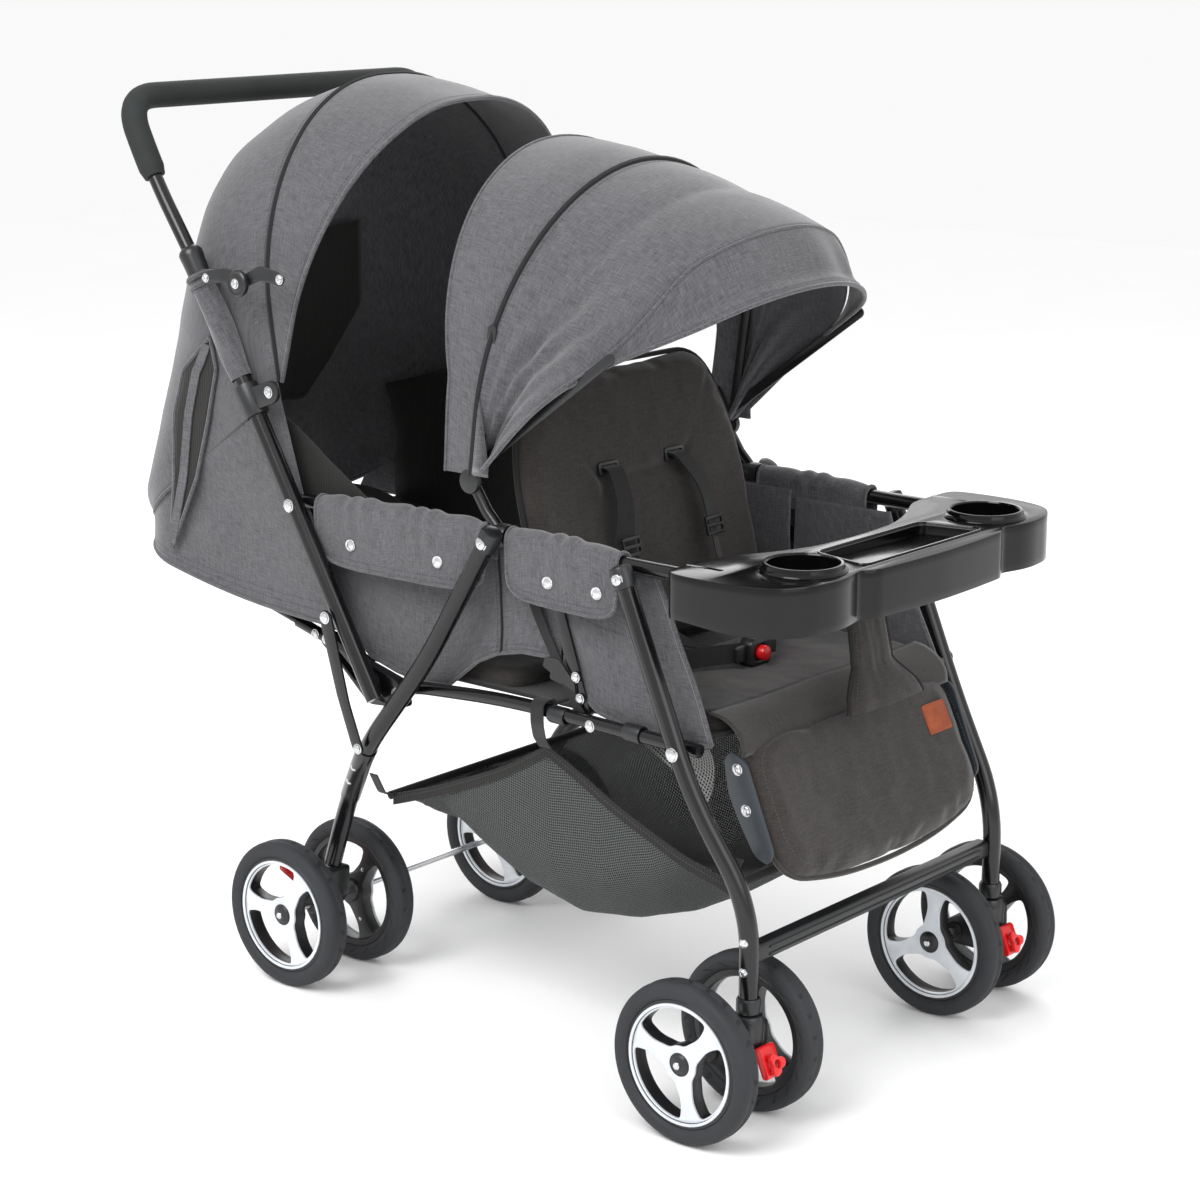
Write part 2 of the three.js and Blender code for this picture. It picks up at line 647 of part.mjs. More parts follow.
// The fabric box behind the rear seat: its back, its sides and the fixed part of the canopy.
function rearHood(half, [y, z]) {
  const up = rearCanopyRadius;
  const back = [
    [y + 292, z - 214], [y + 310, z - 186],
    [y + 0.649 * up, z + 0.439 * up], [y + 0.526 * up, z + 0.766 * up],
  ];
  const roof = [[y + 0.316 * up, z + 0.953 * up], [y + 0.187 * up, z + up]];
  const outer = sidePlate(outline([[y - 42, z - 262], ...back, ...roof, [y + 8, z + 20]]), -half, half);
  const inner = sidePlate(outline([
    [y - 80, z - 250], [y - 80, z - 300], [back[0][0] - 30, back[0][1] - 60],
    [back[0][0] - 6, back[0][1] + 6], ...back.map(([u, v]) => [u - fabric * 1.2, v - 2]),
    ...roof.map(([u, v]) => [u - 3, v - fabric]), [y - 60, z + 330],
  ]), -half + fabric, half - fabric);
  const plan = (inset) => {
    const side = half - inset;
    const rearEdge = back[1][0] - inset;
    const shape = new THREE.Shape();
    shape.moveTo(-side, y - 120);
    shape.lineTo(side, y - 120);
    shape.lineTo(side, y + 70);
    shape.quadraticCurveTo(side - 10, rearEdge - 30, side - 90, rearEdge);
    shape.lineTo(-side + 90, rearEdge);
    shape.quadraticCurveTo(-side + 10, rearEdge - 30, -side, y + 70);
    return shape;
  };
  const arch = (inset) => {
    const side = half - inset;
    const top = roof[1][1] - inset;
    const shape = new THREE.Shape();
    shape.moveTo(-side, z - 500);
    shape.lineTo(side, z - 500);
    shape.lineTo(side, top - 150);
    shape.bezierCurveTo(side, top - 60, side - 60, top - 6, 0, top);
    shape.bezierCurveTo(-side + 60, top - 6, -side, top - 60, -side, top - 150);
    return facePlate(shape, y - 300, y + 500);
  };
  const shell = cut(
    common(outer, planPlate(plan(0), z - 400, z + 500), arch(0)),
    common(inner, planPlate(plan(fabric), z - 500, z + 600), arch(fabric)),
  );
  add('rear_hood', shell, greyCloth);
}

// Two arms and a knob on each side hold the rear canopy open.
function stretchers() {
  const rearArm = 4;
  for (const { name, sign } of sides) {
    const x = sign * (sidePlane + tubeRadius + layerGap / 2 + rearArm / 2);
    const past = sign * (rearArm + 0.6);
    const [knobY, knobZ] = pivots.stretcherKnob;
    const rear = flatLink(pivots.stretcherRear, pivots.stretcherKnob, 13, x, rearArm);
    add(`stretcher_rear_${name}`, rear, blackPlastic);
    const arm = flatLink(pivots.stretcherKnob, pivots.stretcherFront, 13, x + past, rearArm);
    const knobFrom = x + past;
    const knob = crossBar(12, knobFrom, knobFrom + sign * 9, [knobY, knobZ], 14);
    add(`stretcher_front_${name}`, join(arm, knob), blackPlastic);
  }
}

casters();
rearUnits();
legs();
seatFrame();
armrests();
handle();
crankLinks();
tray();
seats();
basket();
frontCanopy();
rearCanopy();
stretchers();

// The origin goes under the middle of the whole box.
const box = new THREE.Box3().setFromObject(stroller, true);
stroller.position.y = -(box.min.y + box.max.y) / 2;

export default stroller;
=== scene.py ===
import json
import logging
import math
import random
from dataclasses import dataclass, field
from enum import Enum
from itertools import product
from typing import Callable, Iterable, Sequence

import bpy
import numpy as np
from mathutils import Matrix, Vector, noise


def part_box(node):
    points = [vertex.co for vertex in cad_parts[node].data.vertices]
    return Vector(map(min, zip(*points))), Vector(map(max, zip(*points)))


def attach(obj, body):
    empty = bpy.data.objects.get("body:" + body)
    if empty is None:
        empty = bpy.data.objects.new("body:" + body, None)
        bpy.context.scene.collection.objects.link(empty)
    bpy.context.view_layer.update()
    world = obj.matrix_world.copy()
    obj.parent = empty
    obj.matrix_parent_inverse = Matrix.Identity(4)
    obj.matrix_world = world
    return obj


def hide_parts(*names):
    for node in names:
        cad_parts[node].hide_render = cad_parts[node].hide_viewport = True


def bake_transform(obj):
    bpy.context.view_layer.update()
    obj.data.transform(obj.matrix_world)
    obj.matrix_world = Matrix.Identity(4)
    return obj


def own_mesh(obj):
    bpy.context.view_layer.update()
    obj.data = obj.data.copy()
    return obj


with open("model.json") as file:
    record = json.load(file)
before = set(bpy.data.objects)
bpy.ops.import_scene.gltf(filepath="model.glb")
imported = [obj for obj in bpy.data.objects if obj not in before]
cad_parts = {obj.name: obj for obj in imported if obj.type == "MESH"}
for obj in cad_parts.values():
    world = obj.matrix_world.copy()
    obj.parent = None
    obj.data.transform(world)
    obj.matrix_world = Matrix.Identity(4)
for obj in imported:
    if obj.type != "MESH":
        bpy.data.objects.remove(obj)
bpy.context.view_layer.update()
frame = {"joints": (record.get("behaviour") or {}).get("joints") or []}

log = logging.getLogger("stroller")
logging.basicConfig(level=logging.INFO, format="%(message)s")

Obj = bpy.types.Object
Flat = tuple[float, float]
Shape = Callable[[float, float], Sequence[float]]
RIGHT, LEFT = -1, 1
SIDE_NAME = {RIGHT: "right", LEFT: "left"}


class Slot(str, Enum):
    """The finishes that the record names."""

    PAINT = "black_paint"
    PLASTIC = "black_plastic"
    TRAY = "tray_plastic"
    FOAM = "foam"
    STEEL = "steel"
    TYRE = "tyre"
    SILVER = "silver_plastic"
    RED = "red_plastic"
    GREY = "grey_cloth"
    DARK = "dark_cloth"
    NET = "mesh_cloth"


# ------------------------------------------------------------------ where things are


@dataclass(frozen=True)
class Layout:
    """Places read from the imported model, so that every piece lies on its solid."""

    pivots: dict[str, Vector]

    @classmethod
    def read(cls) -> "Layout":
        """Read the joints' places."""
        return cls({j["name"]: Vector(j["pos_m"]) for j in frame["joints"] if "pos_m" in j})

    def yz(self, joint: str) -> Flat:
        """A joint's place in the side view."""
        place = self.pivots[joint]
        return place.y, place.z

    @staticmethod
    def low(node: str) -> Vector:
        """A node's lowest corner."""
        return Vector(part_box(node)[0])

    @staticmethod
    def high(node: str) -> Vector:
        """A node's highest corner."""
        return Vector(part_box(node)[1])

    @classmethod
    def middle(cls, node: str) -> Vector:
        """The middle of a node's box."""
        return (cls.low(node) + cls.high(node)) / 2


PLACES = Layout.read()
# The planes of the legs and of the armrests, and how far the backrests climb from +Y at rest.
LEG_PLANE = abs(PLACES.middle("handle_lower_left").x)
ARMREST_PLANE = abs(PLACES.middle("armrest_tube_left").x)
FRONT_LEAN, REAR_LEAN = 76.0, 14.5


# ------------------------------------------------------------------ shader maths


class Sock:
    """A socket or number in a node tree, with arithmetic that adds Math nodes."""

    def __init__(self, graph: "Graph", link: object) -> None:
        """Wrap a link of the given graph."""
        self.graph = graph
        self.link = link

    def _math(self, operation: str, *values: object) -> "Sock":
        """Add one Math node."""
        return self.graph.make(
            "ShaderNodeMath", {"operation": operation}, dict(enumerate(values))
        )

    def __add__(self, other: object) -> "Sock":
        """Sum."""
        return self._math("ADD", self, other)

    __radd__ = __add__

    def __sub__(self, other: object) -> "Sock":
        """Difference."""
        return self._math("SUBTRACT", self, other)

    def __rsub__(self, other: object) -> "Sock":
        """Difference, with this socket taken away."""
        return self._math("SUBTRACT", other, self)

    def __mul__(self, other: object) -> "Sock":
        """Product."""
        return self._math("MULTIPLY", self, other)

    __rmul__ = __mul__

    def __truediv__(self, other: object) -> "Sock":
        """Quotient."""
        return self._math("DIVIDE", self, other)

    def __rtruediv__(self, other: object) -> "Sock":
        """Quotient, with this socket below."""
        return self._math("DIVIDE", other, self)

    def __pow__(self, other: object) -> "Sock":
        """Power."""
        return self._math("POWER", self, other)

    def call(self, operation: str, *values: object) -> "Sock":
        """Any other Math operation, with this socket first."""
        return self._math(operation, self, *values)


class Graph:
    """A material's node tree under construction."""

    def __init__(self, name: str) -> None:
        """Start an empty material."""
        self.material = bpy.data.materials.new(name)
        self.material.use_nodes = True
        self.tree = self.material.node_tree
        self.tree.nodes.clear()

    def make(
        self, kind: str, settings: dict | None = None, inputs: dict | None = None, out: object = 0
    ) -> Sock:
        """Add a node.

        Args:
            kind: The node's type name.
            settings: Attributes set before the sockets, such as an operation.
            inputs: Values or links by socket name or number.
            out: The output socket that is returned.

        Returns:
            The wrapped output.
        """
        node = self.tree.nodes.new(kind)
        for key, value in (settings or {}).items():
            if key == "stops":
                self._stops(node, value)
            else:
                setattr(node, key, value)
        for key, value in (inputs or {}).items():
            self._feed(self._socket(node.inputs, key), value)
        return Sock(self, self._socket(node.outputs, out) if node.outputs else None)

    @staticmethod
    def _socket(sockets: object, key: object) -> object:
        """The enabled socket of a name, or the one of a number."""
        if isinstance(key, int):
            return sockets[key]
        return next(s for s in sockets if s.name == key and s.enabled)

    @staticmethod
    def _stops(node: object, stops: Sequence[tuple[float, Sequence[float]]]) -> None:
        """Set a ramp's stops."""
        ramp = node.color_ramp
        while len(ramp.elements) < len(stops):
            ramp.elements.new(0.5)
        for element, (place, color) in zip(ramp.elements, stops):
            element.position = place
            element.color = color

    def _feed(self, socket: object, value: object) -> None:
        """Link or set one input."""
        if isinstance(value, Sock):
            self.tree.links.new(value.link, socket)
        elif isinstance(value, (tuple, list)) and len(value) == 3 and socket.type == "RGBA":
            socket.default_value = (*value, 1.0)
        else:
            socket.default_value = value

    def coordinates(self, own: bool) -> Sock:
        """The piece's own flat coordinates in metres, or its place in the stroller."""
        return self.make("ShaderNodeTexCoord", out="UV" if own else "Object")

    def stretched(self, vector: Sock, scale: Sequence[float], turn: float = 0.0) -> Sock:
        """A vector turned about Z and scaled."""
        return self.make(
            "ShaderNodeMapping", {"vector_type": "POINT"},
            {"Vector": vector, "Rotation": (0.0, 0.0, turn), "Scale": tuple(scale)},
        )

    def noise(self, vector: Sock, scale: float, detail: float = 3.0, rough: float = 0.55) -> Sock:
        """A noise value round one half."""
        return self.make(
            "ShaderNodeTexNoise", None,
            {"Vector": vector, "Scale": scale, "Detail": detail, "Roughness": rough},
        )

    def wave(self, vector: Sock, scale: float, direction: str, bend: float = 0.0) -> Sock:
        """Parallel sine bands."""
        return self.make(
            "ShaderNodeTexWave", {"bands_direction": direction},
            {"Vector": vector, "Scale": scale, "Distortion": bend, "Detail": 1.0},
        )

    def between(self, value: Sock, low: float, high: float) -> Sock:
        """A value stretched so that low is 0 and high is 1, and clamped."""
        return self.make(
            "ShaderNodeMapRange", {"clamp": True}, {"Value": value, "From Min": low, "From Max": high}
        )

    def blend(self, share: object, first: object, second: object) -> Sock:
        """A mix of two colours."""
        node = self.tree.nodes.new("ShaderNodeMix")
        node.data_type = "RGBA"
        self._feed(node.inputs[0], share)
        self._feed(node.inputs[6], first)
        self._feed(node.inputs[7], second)
        return Sock(self, node.outputs[2])

    def bump(self, height: Sock, strength: float, distance: float) -> Sock:
        """A normal from a height."""
        return self.make(
            "ShaderNodeBump", None, {"Height": height, "Strength": strength, "Distance": distance}
        )

    def split(self, vector: Sock) -> tuple[Sock, Sock]:
        """A vector's first two coordinates."""
        node = self.tree.nodes.new("ShaderNodeSeparateXYZ")
        self._feed(node.inputs[0], vector)
        return Sock(self, node.outputs[0]), Sock(self, node.outputs[1])

    def finish(self, **sockets: object) -> bpy.types.Material:
        """Close the tree with a Principled shader whose sockets are given.

        Args:
            **sockets: Values or links, with underscores for the spaces in a socket's name.

        Returns:
            The material.
        """
        inputs = {key.replace("_", " "): value for key, value in sockets.items()}
        shader = self.make("ShaderNodeBsdfPrincipled", None, inputs)
        self.make("ShaderNodeOutputMaterial", None, {"Surface": shader})
        return self.material


def tint(code: str) -> tuple[float, float, float]:
    """A colour as the shader wants it, from its hexadecimal display code."""
    parts = [int(code[i:i + 2], 16) / 255 for i in (0, 2, 4)]
    linear = [c / 12.92 if c <= 0.04045 else ((c + 0.055) / 1.055) ** 2.4 for c in parts]
    return linear[0], linear[1], linear[2]


def shade_of(code: str, gain: float, lift: float = 0.0) -> tuple[float, float, float]:
    """A colour made lighter or darker by a gain and a lift."""
    red, green, blue = tint(code)
    return red * gain + lift, green * gain + lift, blue * gain + lift


# ------------------------------------------------------------------ finishes


@dataclass(frozen=True)
class Heather:
    """Linen-look upholstery cloth: slubby yarns of two shades, a weave and a soft nap."""

    name: str
    light: str
    dark: str
    own: bool = True
    nap: float = 0.35
    relief: float = 1.0

    def material(self) -> bpy.types.Material:
        """Build the material."""
        g = Graph(self.name)
        place = g.coordinates(self.own)
        if self.own:
            weft = g.noise(g.stretched(place, (70, 620, 1)), 1.0, 3.0, 0.62)
            warp = g.noise(g.stretched(place, (560, 60, 1)), 1.0, 3.0, 0.62)
        else:
            weft = g.noise(g.stretched(place, (70, 70, 620)), 1.0, 3.0, 0.62)
            warp = g.noise(g.stretched(place, (560, 560, 60)), 1.0, 3.0, 0.62)
        fleck = g.noise(place, 900.0, 1.0)
        cloud = g.noise(place, 9.0, 2.0)
        yarn = g.between(weft * 0.5 + warp * 0.5 + fleck * 0.22, 0.42, 0.80)
        shade = g.blend(yarn, tint(self.dark), tint(self.light))
        worn = g.blend(g.between(cloud, 0.3, 0.72) * 0.22, shade, tint(self.light))
        over = g.wave(place, 210.0, "X", 1.2)
        under = g.wave(place, 210.0, "Y", 1.2)
        height = over * 0.3 + under * 0.3 + yarn * 0.9 + fleck * 0.4
        return g.finish(
            Base_Color=worn,
            Roughness=0.86 + 0.1 * yarn,
            Sheen_Weight=self.nap,
            Sheen_Roughness=0.5,
            Specular_IOR_Level=0.25,
            Normal=g.bump(height, 0.35 * self.relief, 0.0006),
        )


@dataclass(frozen=True)
class Twill:
    """Close black cloth for bindings, piping, webbing and linings."""

    name: str
    color: str
    pitch: float = 900.0
    own: bool = False

    def material(self) -> bpy.types.Material:
        """Build the material."""
        g = Graph(self.name)
        place = g.coordinates(self.own)
        rib = g.wave(g.stretched(place, (1, 1, 1), 0.8), self.pitch / 6.3, "X", 0.6)
        lint = g.noise(place, 420.0, 2.0)
        shade = g.blend(rib * 0.5 + lint * 0.4, tint(self.color), shade_of(self.color, 2.2, 0.006))
        return g.finish(
            Base_Color=shade,
            Roughness=0.8 + 0.12 * lint,
            Sheen_Weight=0.15,
            Specular_IOR_Level=0.3,
            Normal=g.bump(rib + lint * 0.5, 0.3, 0.0004),
        )


@dataclass(frozen=True)
class Net:
    """Open warp-knit net with staggered holes, drawn on the piece's own coordinates; the holes are
    painted near black and partly opaque, as painted shade of the inside seen through them.
    """

    name: str
    thread: str
    pitch: float
    open_share: float
    # How opaque the holes stay, so that their painted shade shows.
    hole_shade_cover: float = 0.0

    def material(self) -> bpy.types.Material:
        """Build the material."""
        g = Graph(self.name)
        place = g.coordinates(True)
        turn = 2 * math.pi / self.pitch
        across, along = g.split(place)
        hole = (across * turn).call("COSINE") * (along * turn).call("COSINE")
        solid = g.between(hole.call("ABSOLUTE"), self.open_share + 0.12, self.open_share)
        lint = g.noise(place, 500.0, 2.0)
        # The holes take a near-black colour and stay partly opaque: painted shade of the dark inside seen
        # through them.
        return g.finish(
            Base_Color=g.blend(
                solid * (0.6 + 0.4 * lint), shade_of(self.thread, 0.08), tint(self.thread)
            ),
            Roughness=0.75 + 0.15 * lint, Alpha=solid * (1 - self.hole_shade_cover) + self.hole_shade_cover,
            Normal=g.bump(solid + lint * 0.2, 0.4, 0.0006),
        )


@dataclass(frozen=True)
class Gloss:
    """Stove-enamelled or moulded black with a slight ripple, fine dust and rubbed places."""

    name: str
    color: str
    rough: float
    ripple: float = 14.0
    grain: float = 0.05
    coat: float = 0.4
    metallic: float = 0.0
    shine: float = 0.5

    def material(self) -> bpy.types.Material:
        """Build the material."""
        g = Graph(self.name)
        place = g.coordinates(False)
        ripple = g.noise(place, self.ripple * 10, 2.0)
        dust = g.noise(place, 1500.0, 2.0)
        smear = g.between(g.noise(place, self.ripple, 4.0), 0.38, 0.75)
        shade = g.blend(smear * 0.35 + dust * 0.1, tint(self.color), shade_of(self.color, 1.8, 0.004))
        return g.finish(
            Base_Color=shade,
            Roughness=self.rough + smear * 0.12,
            Metallic=self.metallic,
            Specular_IOR_Level=self.shine,
            Coat_Weight=self.coat - smear * 0.1 * self.coat,
            Coat_Roughness=max(0.04, self.rough * 0.5),
            Normal=g.bump(ripple + dust * 0.3, self.grain, 0.0008),
        )


@dataclass(frozen=True)
class Foam:
    """Closed-cell foam: matt, with fine pores and a faint bloom."""

    name: str
    color: str
    rough: float = 0.72
    pores: float = 1400.0
    depth: float = 0.25

    def material(self) -> bpy.types.Material:
        """Build the material."""
        g = Graph(self.name)
        place = g.coordinates(False)
        pore = g.make("ShaderNodeTexVoronoi", None, {"Vector": place, "Scale": self.pores})
        bloom = g.noise(place, 22.0, 3.0)
        shade = g.blend(
            g.between(bloom, 0.35, 0.7) * 0.5, tint(self.color), shade_of(self.color, 1.5, 0.008)
        )
        return g.finish(
            Base_Color=shade,
            Roughness=self.rough + 0.12 * bloom,
            Specular_IOR_Level=0.4,
            Normal=g.bump(pore, self.depth, 0.0005),
        )


@dataclass(frozen=True)
class Tread:
    """Moulded wheel foam with short notches round the shoulders, on the tyre's own coordinates; the
    notches are painted darker as shade in their recesses.
    """

    name: str
    color: str
    notch_pitch: float = 0.0232

    def material(self) -> bpy.types.Material:
        """Build the material."""
        g = Graph(self.name)
        place = g.coordinates(True)
        grit = g.noise(g.coordinates(False), 700.0, 3.0)
        dirt = g.between(g.noise(g.coordinates(False), 26.0, 3.0), 0.4, 0.7)
        round_, across = g.split(place)
        beat = (round_ * (2 * math.pi / self.notch_pitch)).call("COSINE")
        band = ((across - 0.0165).call("ABSOLUTE") - 0.0095).call("ABSOLUTE")
        notch = g.between(beat, 0.72, 0.86) * g.between(band, 0.0036, 0.0028)
        seam = g.between((across - 0.0165).call("ABSOLUTE"), 0.0007, 0.0003)
        shade = g.blend(dirt * 0.5 + grit * 0.2, tint(self.color), shade_of(self.color, 1.7, 0.01))
        # The notches are painted darker: painted shade in their recesses.
        return g.finish(
            Base_Color=g.blend(notch * 0.6, shade, shade_of(self.color, 0.3)),
            Roughness=0.62 + 0.25 * dirt,
            Specular_IOR_Level=0.35,
            Normal=g.bump(grit * 0.12 - notch - seam * 0.5, 0.6, 0.0012),
        )


@dataclass(frozen=True)
class Leather:
    """Vegetable-tanned leather: pebbled grain, darker rubbed patches."""

    name: str
    color: str

    def material(self) -> bpy.types.Material:
        """Build the material."""
        g = Graph(self.name)
        place = g.coordinates(False)
        cell = g.make(
            "ShaderNodeTexVoronoi", {"feature": "DISTANCE_TO_EDGE"}, {"Vector": place, "Scale": 900.0}
        )
        patch = g.noise(place, 60.0, 4.0)
        shade = g.blend(g.between(patch, 0.35, 0.7), tint(self.color), shade_of(self.color, 0.62))
        return g.finish(
            Base_Color=shade, Roughness=0.5 + 0.2 * patch, Specular_IOR_Level=0.4,
            Normal=g.bump(g.between(cell, 0.0, 0.3) + patch * 0.3, 0.35, 0.0005),
        )


@dataclass(frozen=True)
class Sweep:
    """The pale studio floor."""

    name: str
    color: str

    def material(self) -> bpy.types.Material:
        """Build the material."""
        g = Graph(self.name)
        spot = g.noise(g.coordinates(False), 3.0, 3.0)
        return g.finish(
            Base_Color=g.blend(spot * 0.3, tint(self.color), tint("f2f2f2")), Roughness=0.7 + 0.1 * spot
        )


class Finishes:
    """Every finish on the stroller, built once."""

    def __init__(self) -> None:
        """Build the materials."""
        self.grey = Heather("grey_linen", "626165", "29292c").material()
        self.grey_solid = Heather("grey_linen_pads", "626165", "29292c", own=False).material()
        self.dark = Heather("charcoal_linen", "3c3836", "1b1918", nap=0.25).material()
        self.dark_solid = (
            Heather("charcoal_linen_pads", "3c3836", "1b1918", own=False, nap=0.25).material()
        )
        self.lining = Twill("black_lining", "161514", 700.0).material()
        self.piping = Twill("black_piping", "101012", 1200.0).material()
        self.webbing = Twill("black_webbing", "131314", 1500.0).material()
        self.thread = Twill("grey_thread", "3c3b41", 2600.0).material()
        self.net = Net("basket_net", "585c5a", 0.0062, 0.34, 0.72).material()
        self.vent = Net("white_vent", "8f908e", 0.0072, 0.42, 0.5).material()
        self.paint = Gloss("black_enamel", "08080a", 0.18, 9.0, 0.03, 0.2, 0.0, 0.4).material()
        self.steel = Gloss("nickel", "c6c7c9", 0.22, 30.0, 0.04, 0.0, 1.0).material()
        self.plastic = Gloss("black_moulding", "131416", 0.34, 18.0, 0.06, 0.1).material()
        self.tray = Gloss("tray_moulding", "050506", 0.15, 7.0, 0.04, 0.1, 0.0, 0.28).material()
        self.rim = Gloss("rim_moulding", "101113", 0.38, 16.0, 0.05, 0.1).material()
        self.silver = Gloss("silver_moulding", "c9cdd2", 0.3, 20.0, 0.03, 0.3, 0.25).material()
        self.slate = Gloss("slate_moulding", "272c31", 0.42, 20.0, 0.08, 0.05).material()
        self.red = Gloss("red_moulding", "c80f14", 0.3, 20.0, 0.04, 0.3).material()
        self.foam = Foam("grip_foam", "1f2222").material()
        self.tyre = Tread("wheel_foam", "26272a").material()
        self.leather = Leather("tan_leather", "a04a22").material()
        self.floor = Sweep("studio_floor", "ffffff").material()


# ------------------------------------------------------------------ the bench


class Bench:
    """The hand tools: each makes or works one Blender object and leaves it at the origin."""

    @staticmethod
    def only(obj: Obj) -> None:
        """Leave just this object selected and active."""
        bpy.ops.object.select_all(action="DESELECT")
        obj.select_set(True)
        bpy.context.view_layer.objects.active = obj

    @classmethod
    def cook(cls, obj: Obj, kind: str, **settings: object) -> Obj:
        """Add a modifier and apply it.

        Args:
            obj: The object to work.
            kind: The modifier's type.
            **settings: The modifier's own settings.

        Returns:
            The same object.
        """
        cls.only(obj)
        modifier = obj.modifiers.new(kind.lower(), kind)
        for key, value in settings.items():
            setattr(modifier, key, value)
        bpy.ops.object.modifier_apply(modifier=modifier.name)
        return obj

    @classmethod
    def soften(cls, obj: Obj, angle: float = 40.0) -> Obj:
        """Smooth shading with sharp edges past an angle."""
        cls.only(obj)
        bpy.ops.object.shade_smooth_by_angle(angle=math.radians(angle))
        return obj

    @classmethod
    def settle(cls, obj: Obj, matrix: Matrix | None = None) -> Obj:
        """Move the mesh by a matrix and put the object at the origin."""
        obj.data.transform((matrix or Matrix.Identity(4)) @ obj.matrix_world)
        obj.matrix_world = Matrix.Identity(4)
        return obj

    @staticmethod
    def mesh(name: str, points: Iterable[Sequence[float]], faces: Iterable[Sequence[int]]) -> Obj:
        """A new object from points and faces."""
        data = bpy.data.meshes.new(name)
        data.from_pydata([tuple(p) for p in points], [], [tuple(f) for f in faces])
        data.update()
        obj = bpy.data.objects.new(name, data)
        bpy.context.collection.objects.link(obj)
        return obj

    @classmethod
    def tube(
        cls, name: str, path: Sequence[Sequence[float]], radius: float, sides: int = 20,
        closed: bool = False, taper: Sequence[float] | None = None,
    ) -> Obj:
        """A round bar along a path.

        Args:
            name: The object's name.
            path: Points in metres.
            radius: The bar's radius.
            sides: Faces round it.
            closed: Whether the path is a loop.
            taper: A share of the radius at each point.

        Returns:
            The bar as a mesh.
        """
        curve = bpy.data.curves.new(name, "CURVE")
        curve.dimensions = "3D"
        curve.bevel_depth = radius
        curve.bevel_resolution = max(0, sides // 4 - 1)
        curve.use_fill_caps = not closed
        spline = curve.splines.new("POLY")
        spline.points.add(len(path) - 1)
        for i, place in enumerate(path):
            spline.points[i].co = (*place, 1.0)
            spline.points[i].radius = taper[i] if taper else 1.0
        spline.use_cyclic_u = closed
        obj = bpy.data.objects.new(name, curve)
        bpy.context.collection.objects.link(obj)
        cls.only(obj)
        bpy.ops.object.convert(target="MESH")
        obj = bpy.context.object
        return cls.soften(obj, 50)

    @classmethod
    def plate(
        cls, name: str, outlines: Sequence[Sequence[Flat]], thickness: float, matrix: Matrix,
        bevel: float = 0.0006, angle: float = 35.0,
    ) -> Obj:
        """A flat plate with any holes, filled from closed outlines.

        Args:
            name: The object's name.
            outlines: The outside and the holes.
            thickness: How thick it is, half to each side of the plane.
            matrix: Takes the drawing plane to its place.
            bevel: The edge's rounding.
            angle: Past this angle an edge is sharp.

        Returns:
            The plate.
        """
        curve = bpy.data.curves.new(name, "CURVE")
        curve.dimensions = "2D"
        curve.fill_mode = "BOTH"
        curve.extrude = max(thickness / 2 - bevel, 0.0)
        curve.bevel_depth = bevel
        curve.bevel_resolution = 1
        curve.offset = -bevel
        for outline in outlines:
            spline = curve.splines.new("POLY")
            spline.points.add(len(outline) - 1)
            for i, (a, b) in enumerate(outline):
                spline.points[i].co = (a, b, 0.0, 1.0)
            spline.use_cyclic_u = True
        obj = bpy.data.objects.new(name, curve)
        bpy.context.collection.objects.link(obj)
        cls.only(obj)
        bpy.ops.object.convert(target="MESH")
        obj = bpy.context.object
        cls.weld(obj)
        cls.settle(obj, matrix)
        return cls.soften(obj, angle)

    @classmethod
    def weld(cls, obj: Obj, distance: float = 0.00001, outward: bool = True) -> Obj:
        """Merge doubled points and point the faces outwards."""
        cls.only(obj)
        bpy.ops.object.mode_set(mode="EDIT")
        bpy.ops.mesh.select_all(action="SELECT")
        bpy.ops.mesh.remove_doubles(threshold=distance)
        if outward:
            bpy.ops.mesh.normals_make_consistent(inside=False)
        bpy.ops.object.mode_set(mode="OBJECT")
        return obj

    @classmethod
    def turned(
        cls, name: str, profile: Sequence[Flat], place: Sequence[float],
        axis: Sequence[float], steps: int = 24, angle: float = 35.0,
    ) -> Obj:
        """A turned piece, spun from its profile.

        Args:
            name: The object's name.
            profile: Radius and height pairs, from one end to the other.
            place: Where height 0 is.
            axis: The way that height grows.
            steps: Faces round it.
            angle: Past this angle an edge is sharp.

        Returns:
            The turned piece.
        """
        obj = cls.mesh(name, [(r, 0.0, h) for r, h in profile], [])
        obj.data.edges.add(len(profile) - 1)
        for i in range(len(profile) - 1):
            obj.data.edges[i].vertices = (i, i + 1)
        cls.only(obj)
        bpy.ops.object.mode_set(mode="EDIT")
        bpy.ops.mesh.select_all(action="SELECT")
        bpy.ops.mesh.spin(steps=steps, angle=2 * math.pi, center=(0, 0, 0), axis=(0, 0, 1))
        bpy.ops.mesh.select_all(action="SELECT")
        bpy.ops.mesh.remove_doubles(threshold=0.000005)
        bpy.ops.mesh.normals_make_consistent(inside=False)
        bpy.ops.object.mode_set(mode="OBJECT")
        turn = Vector((0, 0, 1)).rotation_difference(Vector(axis).normalized()).to_matrix().to_4x4()
        cls.settle(obj, Matrix.Translation(Vector(place)) @ turn)
        return cls.soften(obj, angle)

